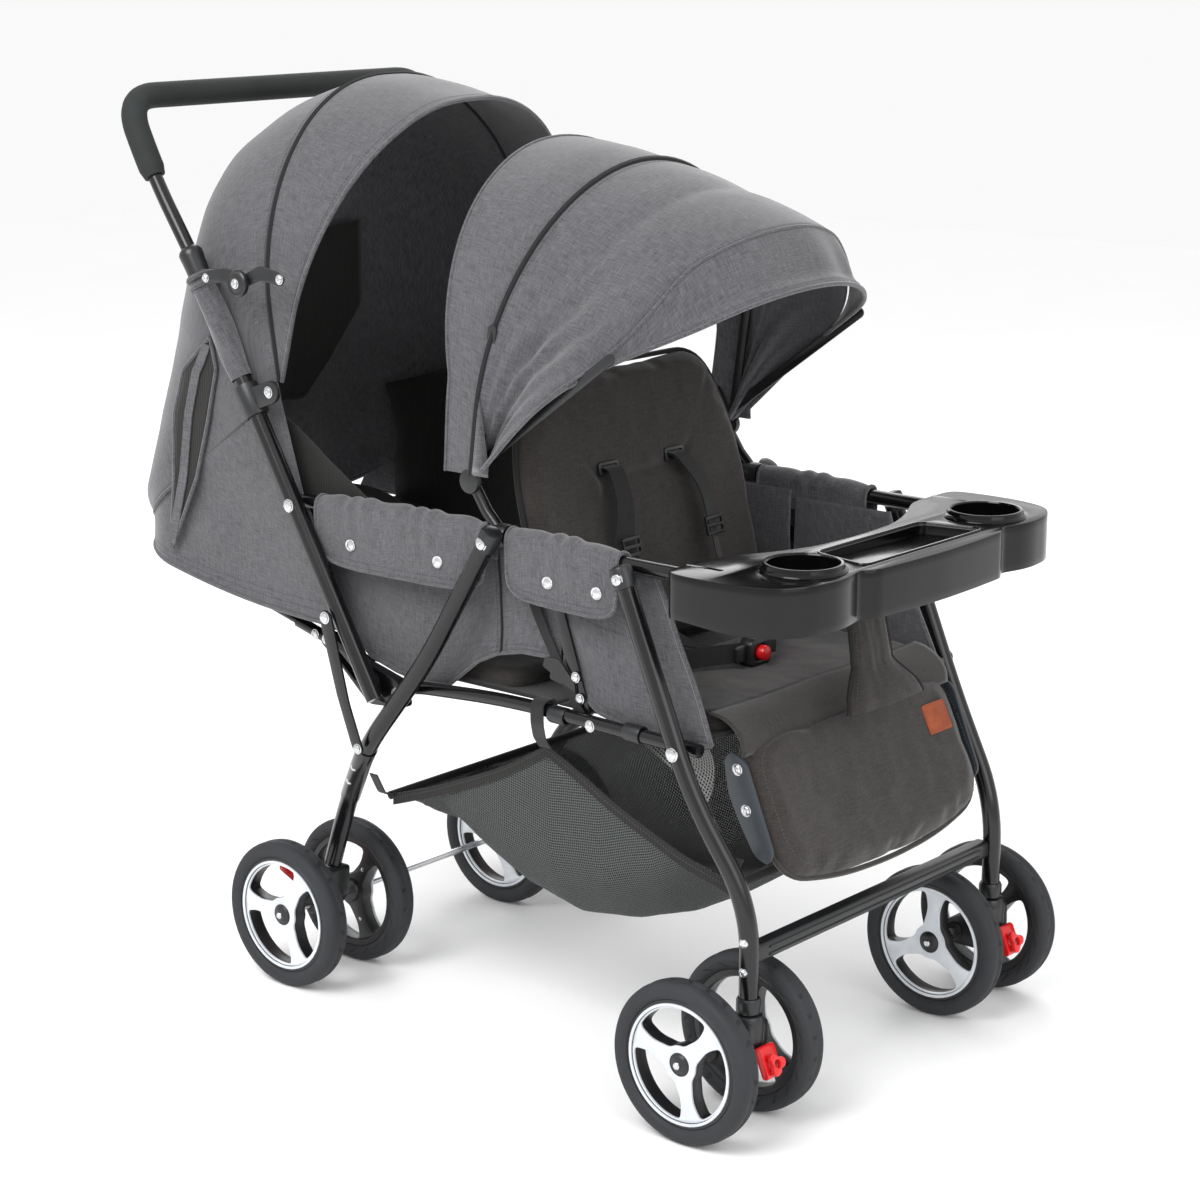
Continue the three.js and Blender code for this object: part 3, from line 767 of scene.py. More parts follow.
    @classmethod
    def surface(
        cls, name: str, shape: Shape, across: int, along: int, away_from: Sequence[float],
        own: bool = True,
    ) -> Obj:
        """A curved sheet from a formula, with its own flat coordinates in metres.

        Args:
            name: The object's name.
            shape: Gives a place for two shares, each from 0 to 1.
            across: Faces in the first direction.
            along: Faces in the second direction.
            away_from: A place behind the sheet; its faces look the other way.
            own: Whether it gets flat coordinates.

        Returns:
            The sheet, with no thickness yet.
        """
        bpy.ops.object.select_all(action="DESELECT")
        bpy.ops.mesh.primitive_grid_add(x_subdivisions=across, y_subdivisions=along, size=1.0)
        obj = bpy.context.object
        obj.name = obj.data.name = name
        data = obj.data
        flat = np.zeros(len(data.vertices) * 3)
        data.vertices.foreach_get("co", flat)
        flat = flat.reshape(-1, 3)
        columns = len(np.unique(np.round(flat[:, 0], 5)))
        rows = len(np.unique(np.round(flat[:, 1], 5)))
        i = np.rint((flat[:, 0] + 0.5) * (columns - 1)).astype(int)
        j = np.rint((flat[:, 1] + 0.5) * (rows - 1)).astype(int)
        table = np.array([
            [shape(a / (columns - 1), b / (rows - 1)) for a in range(columns)] for b in range(rows)
        ], dtype=float)
        data.vertices.foreach_set("co", table[j, i].ravel())
        if own:
            step_u = np.linalg.norm(np.diff(table, axis=1), axis=2)
            step_v = np.linalg.norm(np.diff(table, axis=0), axis=2)
            u = np.concatenate([np.zeros((rows, 1)), np.cumsum(step_u, axis=1)], axis=1)
            v = np.concatenate([np.zeros((1, columns)), np.cumsum(step_v, axis=0)], axis=0)
            u -= u[:, columns // 2:columns // 2 + 1]
            layer = data.uv_layers.active or data.uv_layers.new(name="cloth")
            corners = np.zeros(len(data.loops), dtype=int)
            data.loops.foreach_get("vertex_index", corners)
            pairs = np.stack([u[j, i][corners], v[j, i][corners]], axis=1)
            layer.data.foreach_set("uv", pairs.ravel())
        data.update()
        centre = Vector(away_from)
        lean = sum((p.center - centre).dot(p.normal) * p.area for p in data.polygons)
        if lean < 0:
            data.flip_normals()
        for polygon in data.polygons:
            polygon.use_smooth = True
        return obj

    @classmethod
    def thicken(cls, obj: Obj, thickness: float, offset: float = -1.0) -> Obj:
        """Give a sheet its wall, inwards unless told otherwise."""
        return cls.cook(obj, "SOLIDIFY", thickness=thickness, offset=offset, use_even_offset=False)

    @classmethod
    def copy(cls, obj: Obj, name: str, matrix: Matrix) -> Obj:
        """A copy with its own mesh, moved by a matrix that may mirror it."""
        twin = obj.copy()
        twin.data = obj.data.copy()
        twin.name = twin.data.name = name
        bpy.context.collection.objects.link(twin)
        twin.data.transform(matrix)
        if matrix.determinant() < 0:
            twin.data.flip_normals()
        return twin

    @classmethod
    def join(cls, name: str, pieces: Sequence[Obj]) -> Obj:
        """Join pieces into one object."""
        bpy.ops.object.select_all(action="DESELECT")
        for piece in pieces:
            piece.select_set(True)
        bpy.context.view_layer.objects.active = pieces[0]
        if len(pieces) > 1:
            bpy.ops.object.join()
        whole = bpy.context.view_layer.objects.active
        whole.name = whole.data.name = name
        return whole

    @classmethod
    def stitches(
        cls, name: str, path: Sequence[Sequence[float]], pitch: float = 0.0042,
        length: float = 0.003, radius: float = 0.00045, lift: Sequence[float] = (0, 0, 0),
    ) -> Obj:
        """A run of thread dashes along a path.

        Args:
            name: The object's name.
            path: Points on the cloth.
            pitch: From one stitch to the next.
            length: Of each stitch.
            radius: Of the thread.
            lift: How far the thread stands off the path.

        Returns:
            One mesh of small dashes.
        """
        line = Track(path)
        points, faces = [], []
        count = max(int(line.length / pitch), 1)
        for k in range(count):
            middle = line.at((k + 0.5) * pitch) + Vector(lift)
            way = line.way((k + 0.5) * pitch)
            side = way.orthogonal().normalized() * radius
            up = way.cross(side).normalized() * radius
            base = len(points)
            points += [middle - way * length / 2, middle + side, middle + up, middle - side, middle - up,
                       middle + way * length / 2]
            for a, b in ((1, 2), (2, 3), (3, 4), (4, 1)):
                faces += [(base, base + b, base + a), (base + 5, base + a, base + b)]
        return cls.mesh(name, points, faces)


class Track:
    """A path that is walked by length."""

    def __init__(self, path: Sequence[Sequence[float]]) -> None:
        """Measure the path."""
        self.points = [Vector(p) for p in path]
        self.marks = [0.0]
        for a, b in zip(self.points, self.points[1:]):
            self.marks.append(self.marks[-1] + (b - a).length)
        self.length = self.marks[-1]

    def _leg(self, distance: float) -> tuple[int, float]:
        """The leg that a distance falls in, and the share along it."""
        distance = min(max(distance, 0.0), self.length)
        i = int(np.searchsorted(self.marks, distance, side="right")) - 1
        i = min(max(i, 0), len(self.points) - 2)
        span = self.marks[i + 1] - self.marks[i]
        return i, (distance - self.marks[i]) / span if span else 0.0

    def at(self, distance: float) -> Vector:
        """The place at a distance along."""
        i, share = self._leg(distance)
        return self.points[i].lerp(self.points[i + 1], share)

    def way(self, distance: float) -> Vector:
        """The direction of travel at a distance along."""
        i, _ = self._leg(distance)
        return (self.points[i + 1] - self.points[i]).normalized()

    def even(self, count: int) -> list[Vector]:
        """Evenly spaced places, both ends included."""
        return [self.at(self.length * k / (count - 1)) for k in range(count)]


def rounded(
    corners: Sequence[Sequence[float]], bend: float, steps: int = 8, closed: bool = False
) -> list[Vector]:
    """A path of straight runs with its inner corners rounded.

    Args:
        corners: The corner points, in two or three coordinates.
        bend: How far before and after a corner the rounding reaches.
        steps: Points in each corner.
        closed: Whether the last corner joins the first.

    Returns:
        The points.
    """
    points = [Vector(c) for c in corners]
    count = len(points)
    out = [] if closed else [points[0]]
    for i in range(0 if closed else 1, count if closed else count - 1):
        corner = points[i]
        back, ahead = points[i - 1] - corner, points[(i + 1) % count] - corner
        room = min(bend, back.length * 0.45, ahead.length * 0.45)
        enter, leave = corner + back.normalized() * room, corner + ahead.normalized() * room
        for k in range(steps + 1):
            t = k / steps
            out.append(enter * (1 - t) ** 2 + corner * 2 * t * (1 - t) + leave * t * t)
    if not closed:
        out.append(points[-1])
    return out


def flat_outline(corners: Sequence[Flat], bend: float, steps: int) -> list[Flat]:
    """A closed outline with its corners rounded."""
    return [(p.x, p.y) for p in rounded(corners, bend, steps, closed=True)]


def drum(radius: float, half: float, rim: float, ease: float) -> list[Flat]:
    """The profile of a solid drum with eased rims."""
    return [
        (0.0, -half), (rim, -half), (radius, -half + ease), (radius, half - ease), (rim, half),
        (0.0, half),
    ]


def sleeve_profile(bore: float, wall: float, crest: float, half: float, ease: float) -> list[Flat]:
    """The profile of a sleeve round a bar, with eased ends."""
    return [
        (bore, -half), (bore + wall, -half), (bore + crest, -half + ease),
        (bore + crest, half - ease), (bore + wall, half), (bore, half),
    ]


def walk(shape: Shape, steps: int, v: float, out: float = 0.0) -> list[Vector]:
    """Points across a surface at one height, shifted along X."""
    return [Vector(shape(k / steps, v)) + Vector((out, 0, 0)) for k in range(steps + 1)]


def side_view(x: float) -> Matrix:
    """Takes a drawing in (y, z) to the plane at x."""
    return Matrix(((0, 0, 1, x), (1, 0, 0, 0), (0, 1, 0, 0), (0, 0, 0, 1)))


def ring(radius: float, count: int, centre: Flat = (0.0, 0.0)) -> list[Flat]:
    """Points round a circle."""
    turns = [2 * math.pi * k / count for k in range(count)]
    return [(centre[0] + radius * math.cos(t), centre[1] + radius * math.sin(t)) for t in turns]


def lozenge(start: Flat, end: Flat, width: float, steps: int = 8) -> list[Flat]:
    """The outline of a flat bar with round ends."""
    turn = math.atan2(end[1] - start[1], end[0] - start[0])
    out = []
    for centre, base in ((start, turn + math.pi / 2), (end, turn - math.pi / 2)):
        for k in range(steps + 1):
            a = base + math.pi * k / steps
            out.append((centre[0] + width / 2 * math.cos(a), centre[1] + width / 2 * math.sin(a)))
    return out


def lerp(a: float, b: float, t: float) -> float:
    """A value between two."""
    return a + (b - a) * t


def smooth(t: float) -> float:
    """A soft step from 0 to 1."""
    t = min(max(t, 0.0), 1.0)
    return t * t * (3 - 2 * t)


def ripple(*place: float) -> float:
    """A seeded soft unevenness, about -1 to 1."""
    return noise.noise(Vector((*place, 0.0, 0.0)[:3]) + Vector((3.1, 7.7, 1.3)))


@dataclass
class Assembly:
    """What every sub-assembly shares: the finishes and the way that pieces are entered."""

    finishes: Finishes

    def enter(
        self, piece: Obj, body: str, slot: Slot, material: bpy.types.Material,
        replaces: Sequence[str] = (),
    ) -> Obj:
        """Dress a finished piece, attach it to its body and hide the solids that it stands for.

        Args:
            piece: The piece.
            body: The body it rides on, or nothing for a piece that spans two and is left unattached.
            slot: The record's finish that it takes; not used.
            material: Its material.
            replaces: The solids that it stands for.

        Returns:
            The same piece.
        """
        piece.data.materials.clear()
        piece.data.materials.append(material)
        if body:
            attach(piece, body)
        for node in replaces:
            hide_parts(node)
        return piece

    def rivet(
        self, name: str, body: str, place: Sequence[float], sign: int, radius: float = 0.0055
    ) -> Obj:
        """A domed rivet head that faces outwards from a side."""
        r = radius
        head = Bench.turned(name, [
            (r * 1.25, -0.0012), (r * 1.25, 0.0), (r * 1.05, 0.0004), (r, 0.0016), (r * 0.72, 0.0026),
            (r * 0.42, 0.0028), (r * 0.34, 0.0021), (0.0, 0.0019),
        ], place, (sign, 0, 0), 18, 30)
        return self.enter(head, body, Slot.STEEL, self.finishes.steel)

    def moulded(self, piece: Obj, body: str, replaces: Sequence[str] = ()) -> Obj:
        """Enter a black moulded piece."""
        return self.enter(piece, body, Slot.PLASTIC, self.finishes.plastic, replaces)

    def painted(self, piece: Obj, body: str, replaces: Sequence[str] = ()) -> Obj:
        """Enter an enamelled piece."""
        return self.enter(piece, body, Slot.PAINT, self.finishes.paint, replaces)


# ------------------------------------------------------------------ studio


@dataclass
class Studio:
    """The floor, the soft lights and the camera."""

    finishes: Finishes
    floor_size: float = 14.0
    lens: float = 84.16
    station: tuple[float, float, float] = (-2.3995, -2.0930, 1.2479)
    yaw: float = 49.7765
    pitch: float = -13.939

    def build(self) -> None:
        """Set out the studio."""
        self._floor()
        self._camera()
        self._lamp("key", (-2.9, -0.2, 3.4), 2.2, 120.0)
        self._lamp("front", (-0.9, -3.4, 2.0), 2.4, 36.0)
        self._lamp("rear", (2.6, 2.4, 2.6), 2.4, 45.0)
        world = bpy.data.worlds.new("studio")
        world.use_nodes = True
        world.node_tree.nodes["Background"].inputs["Color"].default_value = (1, 1, 1, 1)
        world.node_tree.nodes["Background"].inputs["Strength"].default_value = 0.95
        bpy.context.scene.world = world
        bpy.context.scene.view_settings.view_transform = "Standard"

    def _floor(self) -> None:
        """A wide pale floor."""
        half = self.floor_size / 2
        floor = Bench.mesh("floor", [
            (-half, -half, 0), (half, -half, 0), (half, half, 0), (-half, half, 0)
        ], [(0, 1, 2, 3)])
        floor.data.materials.append(self.finishes.floor)

    def _camera(self) -> None:
        """The camera, level, looking along its yaw and pitch."""
        data = bpy.data.cameras.new("camera")
        data.lens = self.lens
        data.sensor_width = 36.0
        camera = bpy.data.objects.new("camera", data)
        camera.location = self.station
        yaw, pitch = math.radians(self.yaw), math.radians(self.pitch)
        ahead = Vector(
            (math.sin(yaw) * math.cos(pitch), math.cos(yaw) * math.cos(pitch), math.sin(pitch))
        )
        camera.rotation_euler = ahead.to_track_quat("-Z", "Y").to_euler()
        bpy.context.collection.objects.link(camera)
        bpy.context.scene.camera = camera

    @staticmethod
    def _lamp(name: str, place: Sequence[float], size: float, power: float) -> None:
        """A square soft box that faces the stroller."""
        data = bpy.data.lights.new(name, "AREA")
        data.size, data.energy = size, power
        lamp = bpy.data.objects.new(name, data)
        lamp.location = place
        lamp.rotation_euler = (Vector((0, 0, 0.5)) - Vector(place)).to_track_quat("-Z", "Y").to_euler()
        bpy.context.collection.objects.link(lamp)


# ------------------------------------------------------------------ wheels


@dataclass
class WheelMaker(Assembly):
    """One wheel of each kind, modelled about the X axis at the origin and copied to eight places."""

    radius: float = PLACES.pivots["wheel_spin_front_right_outer"].z
    tyre_half: float = 0.0150
    rim_radius: float = 0.0702
    rim_half: float = 0.0110
    band: float = 0.0085
    hub: float = 0.0165
    spoke: float = 0.0085
    waist: float = 0.042

    def build(self) -> None:
        """Make the master wheel and place the copies."""
        f = self.finishes
        kit = (
            (self._tyre(), "tyre_foam", Slot.TYRE, f.tyre, "tyre"),
            (self._barrel(), "rim_barrel", Slot.PLASTIC, f.rim, "rim"),
            (self._spokes(), "rim_spokes", Slot.PLASTIC, f.rim, ""),
            (self._face(), "wheel_face", Slot.SILVER, f.silver, ""),
            (self._cap(), "hub_cap", Slot.PLASTIC, f.plastic, ""),
            (self._screws(), "rim_screws", Slot.STEEL, f.steel, ""),
        )
        turns = random.Random(5)
        for unit, sign, place in product(("front", "rear"), (RIGHT, LEFT), ("outer", "inner")):
            tail = f"{unit}_{SIDE_NAME[sign]}_{place}"
            spin = Matrix.Rotation(turns.choice((0.35, 1.2, 1.9)) + 0.2 * len(unit), 4, "X")
            # The master's face looks along +X.
            face_out = Matrix.Diagonal((sign if place == "outer" else -sign, 1, 1, 1))
            at = Matrix.Translation(PLACES.pivots[f"wheel_spin_{tail}"]) @ face_out @ spin
            for master, name, slot, material, solid in kit:
                piece = Bench.copy(master, f"{name}_{tail}", at)
                self.enter(piece, f"wheel_{tail}", slot, material, [f"{solid}_{tail}"] if solid else [])
        for master, *_ in kit:
            bpy.data.objects.remove(master)

    def _tyre(self) -> Obj:
        """The foam tyre, with flat coordinates round the tread and across it."""
        half, r = self.tyre_half, self.radius
        inner = self.rim_radius - 0.0005
        section = [
            (inner, -half + 0.004), (inner + 0.004, -half + 0.0006), (r - 0.0085, -half),
            (r - 0.0035, -half + 0.0018), (r - 0.0008, -half + 0.0055), (r, -half + 0.010),
            (r - 0.0007, -0.0012), (r - 0.0016, 0.0),
        ]
        section += [(a, -b) for a, b in reversed(section[:-1])]
        line = Track([(a, b, 0) for a, b in section]).even(30)

        def shape(u: float, v: float) -> Sequence[float]:
            """A place on the tyre's skin."""
            turn = 2 * math.pi * u
            radius, across, _ = line[min(int(round(v * 29)), 29)]
            return across, radius * math.cos(turn), radius * math.sin(turn)

        tyre = Bench.surface("tyre_master", shape, 96, 29, (0, 0, 0))
        layer = tyre.data.uv_layers.active
        for loop in tyre.data.loops:
            layer.data[loop.index].uv.x = round(layer.data[loop.index].uv.x, 6)
        return Bench.weld(tyre)

    def _barrel(self) -> Obj:
        """The band that the tyre sits on, with a lip at each face."""
        r, h, b = self.rim_radius, self.rim_half, self.band
        profile = [
            (r - b, h - 0.002), (r - b + 0.001, h), (r - 0.0012, h), (r, h - 0.001), (r, -h + 0.001),
            (r - 0.0012, -h), (r - b + 0.001, -h), (r - b, -h + 0.002), (r - b + 0.0012, 0.0),
            (r - b, h - 0.002),
        ]
        return Bench.turned("barrel_master", profile, (0, 0, 0), (1, 0, 0), 64, 30)

    def _window(self, middle: float, grow: float) -> list[Flat]:
        """One opening between two spokes, as drawn on the face."""
        def on(radius: float, angle: float) -> Flat:
            """A place on the face, by its distance and angle."""
            return radius * math.cos(angle), radius * math.sin(angle)

        outer, inner = self.rim_radius - self.band - 0.0005 + grow, self.hub + 0.004 - grow
        bar = self.spoke - grow
        open_out = 60 - math.degrees(math.asin(bar * 1.5 / outer))
        open_in = 60 - math.degrees(math.asin(min(bar * 1.25 / inner, 0.9)))
        pinch = math.asin(bar * 0.82 / self.waist)
        corners = [on(outer, math.radians(middle + open_out * (1 - k / 4))) for k in range(9)]
        corners.append(on(self.waist, math.radians(middle - 60) + pinch))
        corners += [on(inner, math.radians(middle + open_in * share)) for share in (-1, 0, 1)]
        corners.append(on(self.waist, math.radians(middle + 60) - pinch))
        return flat_outline(corners, 0.009, 4)

    def _spokes(self) -> Obj:
        """The black web of spokes behind the face."""
        outlines = [ring(self.rim_radius - self.band + 0.002, 64)]
        outlines += [self._window(m, 0.0) for m in (30, 150, 270)]
        web = Bench.plate("web_master", outlines, 0.016, side_view(-0.001), 0.0008)
        hub = Bench.turned("web_hub", [
            (0.004, -0.012), (0.013, -0.012), (0.0145, -0.010), (0.0155, 0.0), (0.0155, 0.009),
            (0.004, 0.009),
        ], (0, 0, 0), (1, 0, 0), 32)
        return Bench.join("web_master", [web, hub])

    def _face(self) -> Obj:
        """The thin silver plate: a ring, three spokes and the hub's collar."""
        outer = self.rim_radius - 0.0042
        inside = self.rim_radius - self.band + 0.0012
        plate = Bench.plate(
            "face_ring", [ring(outer, 72), ring(inside, 72)], 0.0022, side_view(self.rim_half + 0.0006),
            0.0005,
        )
        outlines = [ring(inside + 0.0008, 72)] + [self._window(m, -0.0005) for m in (30, 150, 270)]
        star = Bench.plate("face_star", outlines, 0.003, side_view(self.rim_half - 0.0022), 0.0009)
        return Bench.join("face_master", [plate, star])

    def _cap(self) -> Obj:
        """The domed hub cap with a groove round it."""
        x = self.rim_half - 0.001
        return Bench.turned("cap_master", [
            (0.0128, x - 0.003), (0.0128, x + 0.0006), (0.0122, x + 0.0012), (0.0112, x + 0.0009),
            (0.0104, x + 0.0016), (0.0085, x + 0.003), (0.005, x + 0.0038), (0.0, x + 0.0041),
        ], (0, 0, 0), (1, 0, 0), 36, 30)

    def _screws(self) -> Obj:
        """Three small screw heads on the back of the web."""
        heads = []
        for m in (90, 210, 330):
            a = math.radians(m)
            place = (-0.0088, 0.037 * math.cos(a), 0.037 * math.sin(a))
            heads.append(
                Bench.turned("screw", [
                    (0.0024, -0.001), (0.0024, 0.0006), (0.0016, 0.0012), (0.0007, 0.0013),
                    (0.0006, 0.0008), (0, 0.0008),
                ], place, (-1, 0, 0), 12)
            )
        return Bench.join("screws_master", heads)


# ------------------------------------------------------------------ frame


@dataclass
class Undercarriage(Assembly):
    """Forks, hubs, axles, levers and pedals between the legs and the wheels."""

    def build(self) -> None:
        """Build both sides."""
        for sign in (RIGHT, LEFT):
            self._fork(sign)
            self._hub(sign)
            self._lever(sign)
            self._pedal(sign)
        self._axles()

    def _block(self, name: str, outline: Sequence[Flat], x: float, width: float, bend: float) -> Obj:
        """A moulded block, drawn in the side view with softened corners."""
        shape = flat_outline(outline, bend, 5)
        return Bench.plate(name, [shape], width, side_view(x), 0.0022)

    def _fork(self, sign: int) -> None:
        """The swivelling fork: a bell under the post, a trailing arm and an axle boss."""
        side = SIDE_NAME[sign]
        body, node = f"caster_{side}", f"caster_fork_{side}"
        low, high = PLACES.low(node), PLACES.high(node)
        post = PLACES.pivots[f"caster_swivel_{side}"]
        axle = PLACES.pivots[f"wheel_spin_front_{side}_outer"]
        x = post.x
        arm = self._block(f"fork_arm_{side}", [
            (low.y + 0.001, high.z - 0.006), (low.y, axle.z + 0.006), (post.y - 0.004, axle.z - 0.0155),
            (axle.y + 0.002, axle.z - 0.016), (high.y, axle.z - 0.006), (high.y - 0.001, axle.z + 0.011),
            (post.y + 0.020, axle.z + 0.026), (post.y + 0.016, high.z - 0.006),
        ], x, (high.x - low.x) * 0.96, 0.006)
        self.moulded(arm, body, [node])
        bell = Bench.turned(f"fork_bell_{side}", [
            (0.0, high.z - 0.030), (0.0168, high.z - 0.030), (0.0175, high.z - 0.012),
            (0.0165, high.z - 0.004), (0.015, high.z - 0.001), (0.0125, high.z), (0.0, high.z),
        ], (x, post.y, 0), (0, 0, 1), 32)
        self.moulded(bell, body)
        boss = Bench.turned(
            f"fork_boss_{side}", drum(0.0115, 0.0185, 0.0105, 0.001), (x, axle.y, axle.z), (1, 0, 0), 24
        )
        self.moulded(boss, body)

    def _hub(self, sign: int) -> None:
        """The rear hub, a moulded foot under the leg."""
        side = SIDE_NAME[sign]
        node = f"rear_hub_{side}"
        low, high = PLACES.low(node), PLACES.high(node)
        axle = PLACES.pivots[f"wheel_spin_rear_{side}_outer"]
        x = (low.x + high.x) / 2
        block = self._block(f"hub_block_{side}", [
            (low.y + 0.001, high.z), (low.y + 0.004, axle.z + 0.012), (axle.y - 0.013, axle.z - 0.012),
            (axle.y + 0.008, axle.z - 0.014), (high.y, axle.z), (axle.y + 0.010, axle.z + 0.022),
            (axle.y - 0.004, high.z),
        ], x, (high.x - low.x) * 0.96, 0.005)
        self.moulded(block, "rear_legs", [node])
        shaft = Bench.turned(
            f"hub_boss_{side}", drum(0.012, 0.0185, 0.011, 0.001), (x, axle.y, axle.z), (1, 0, 0), 24
        )
        self.moulded(shaft, "rear_legs")

    def _lever(self, sign: int) -> None:
        """The red swivel lock: a three-lobed thumb wheel on a short tongue."""
        side = SIDE_NAME[sign]
        node = f"caster_lock_{side}"
        low, high = PLACES.low(node), PLACES.high(node)
        mid = (low + high) / 2
        tongue = Bench.plate(f"lock_tongue_{side}", [
            lozenge((high.y - 0.0045, high.z - 0.0045), (low.y + 0.0045, low.z + 0.0045), 0.009)
        ], (high.x - low.x) * 0.96, side_view(mid.x), 0.0016)
        self.enter(tongue, f"caster_lock_{side}", Slot.RED, self.finishes.red, [node])
        star = []
        for k in range(60):
            t = 2 * math.pi * k / 60
            r = 0.0105 + 0.0028 * math.cos(3 * t)
            star.append((r * math.cos(t), r * math.sin(t)))
        face = Matrix.Translation(
            (mid.x, low.y - 0.001, mid.z)
        ) @ Matrix.Rotation(math.radians(68), 4, "X")
        knob = Bench.plate(f"lock_star_{side}", [star, ring(0.0045, 24)], 0.0055, face, 0.0014)
        self.enter(knob, f"caster_lock_{side}", Slot.RED, self.finishes.red)

    def _pedal(self, sign: int) -> None:
        """The red brake pedal with ribs across its tread."""
        side = SIDE_NAME[sign]
        node = f"brake_pedal_{side}"
        low, high = PLACES.low(node), PLACES.high(node)
        mid = (low + high) / 2
        start, end = (low.y + 0.005, low.z + 0.005), (high.y - 0.005, high.z - 0.005)
        paddle = Bench.plate(
            f"pedal_{side}", [lozenge(start, end, 0.0095)], (high.x - low.x) * 0.97, side_view(mid.x),
            0.0018,
        )
        ribs = []
        for k in range(4):
            share = 0.25 + 0.2 * k
            y, z = lerp(start[0], end[0], share) - 0.0018, lerp(start[1], end[1], share) + 0.0046
            ribs.append(Bench.tube("rib", [(low.x + 0.005, y, z), (high.x - 0.005, y, z)], 0.0009, 8))
        whole = Bench.join(f"pedal_{side}", [paddle, *ribs])
        self.enter(whole, f"brake_pedal_{side}", Slot.RED, self.finishes.red, [node])

    def _axles(self) -> None:
        """The steel axles, with chamfered ends."""
        for node, body in (
            ("axle_front_right", "caster_right"), ("axle_front_left", "caster_left"),
            ("axle_rear", "rear_legs"),
        ):
            low, high = PLACES.low(node), PLACES.high(node)
            half, mid = (high.x - low.x) / 2, (low + high) / 2
            r = (high.z - low.z) / 2
            rod = Bench.turned(f"{node}_rod", drum(r, half, r * 0.7, 0.0012), mid, (1, 0, 0), 24)
            self.enter(rod, body, Slot.STEEL, self.finishes.steel, [node])


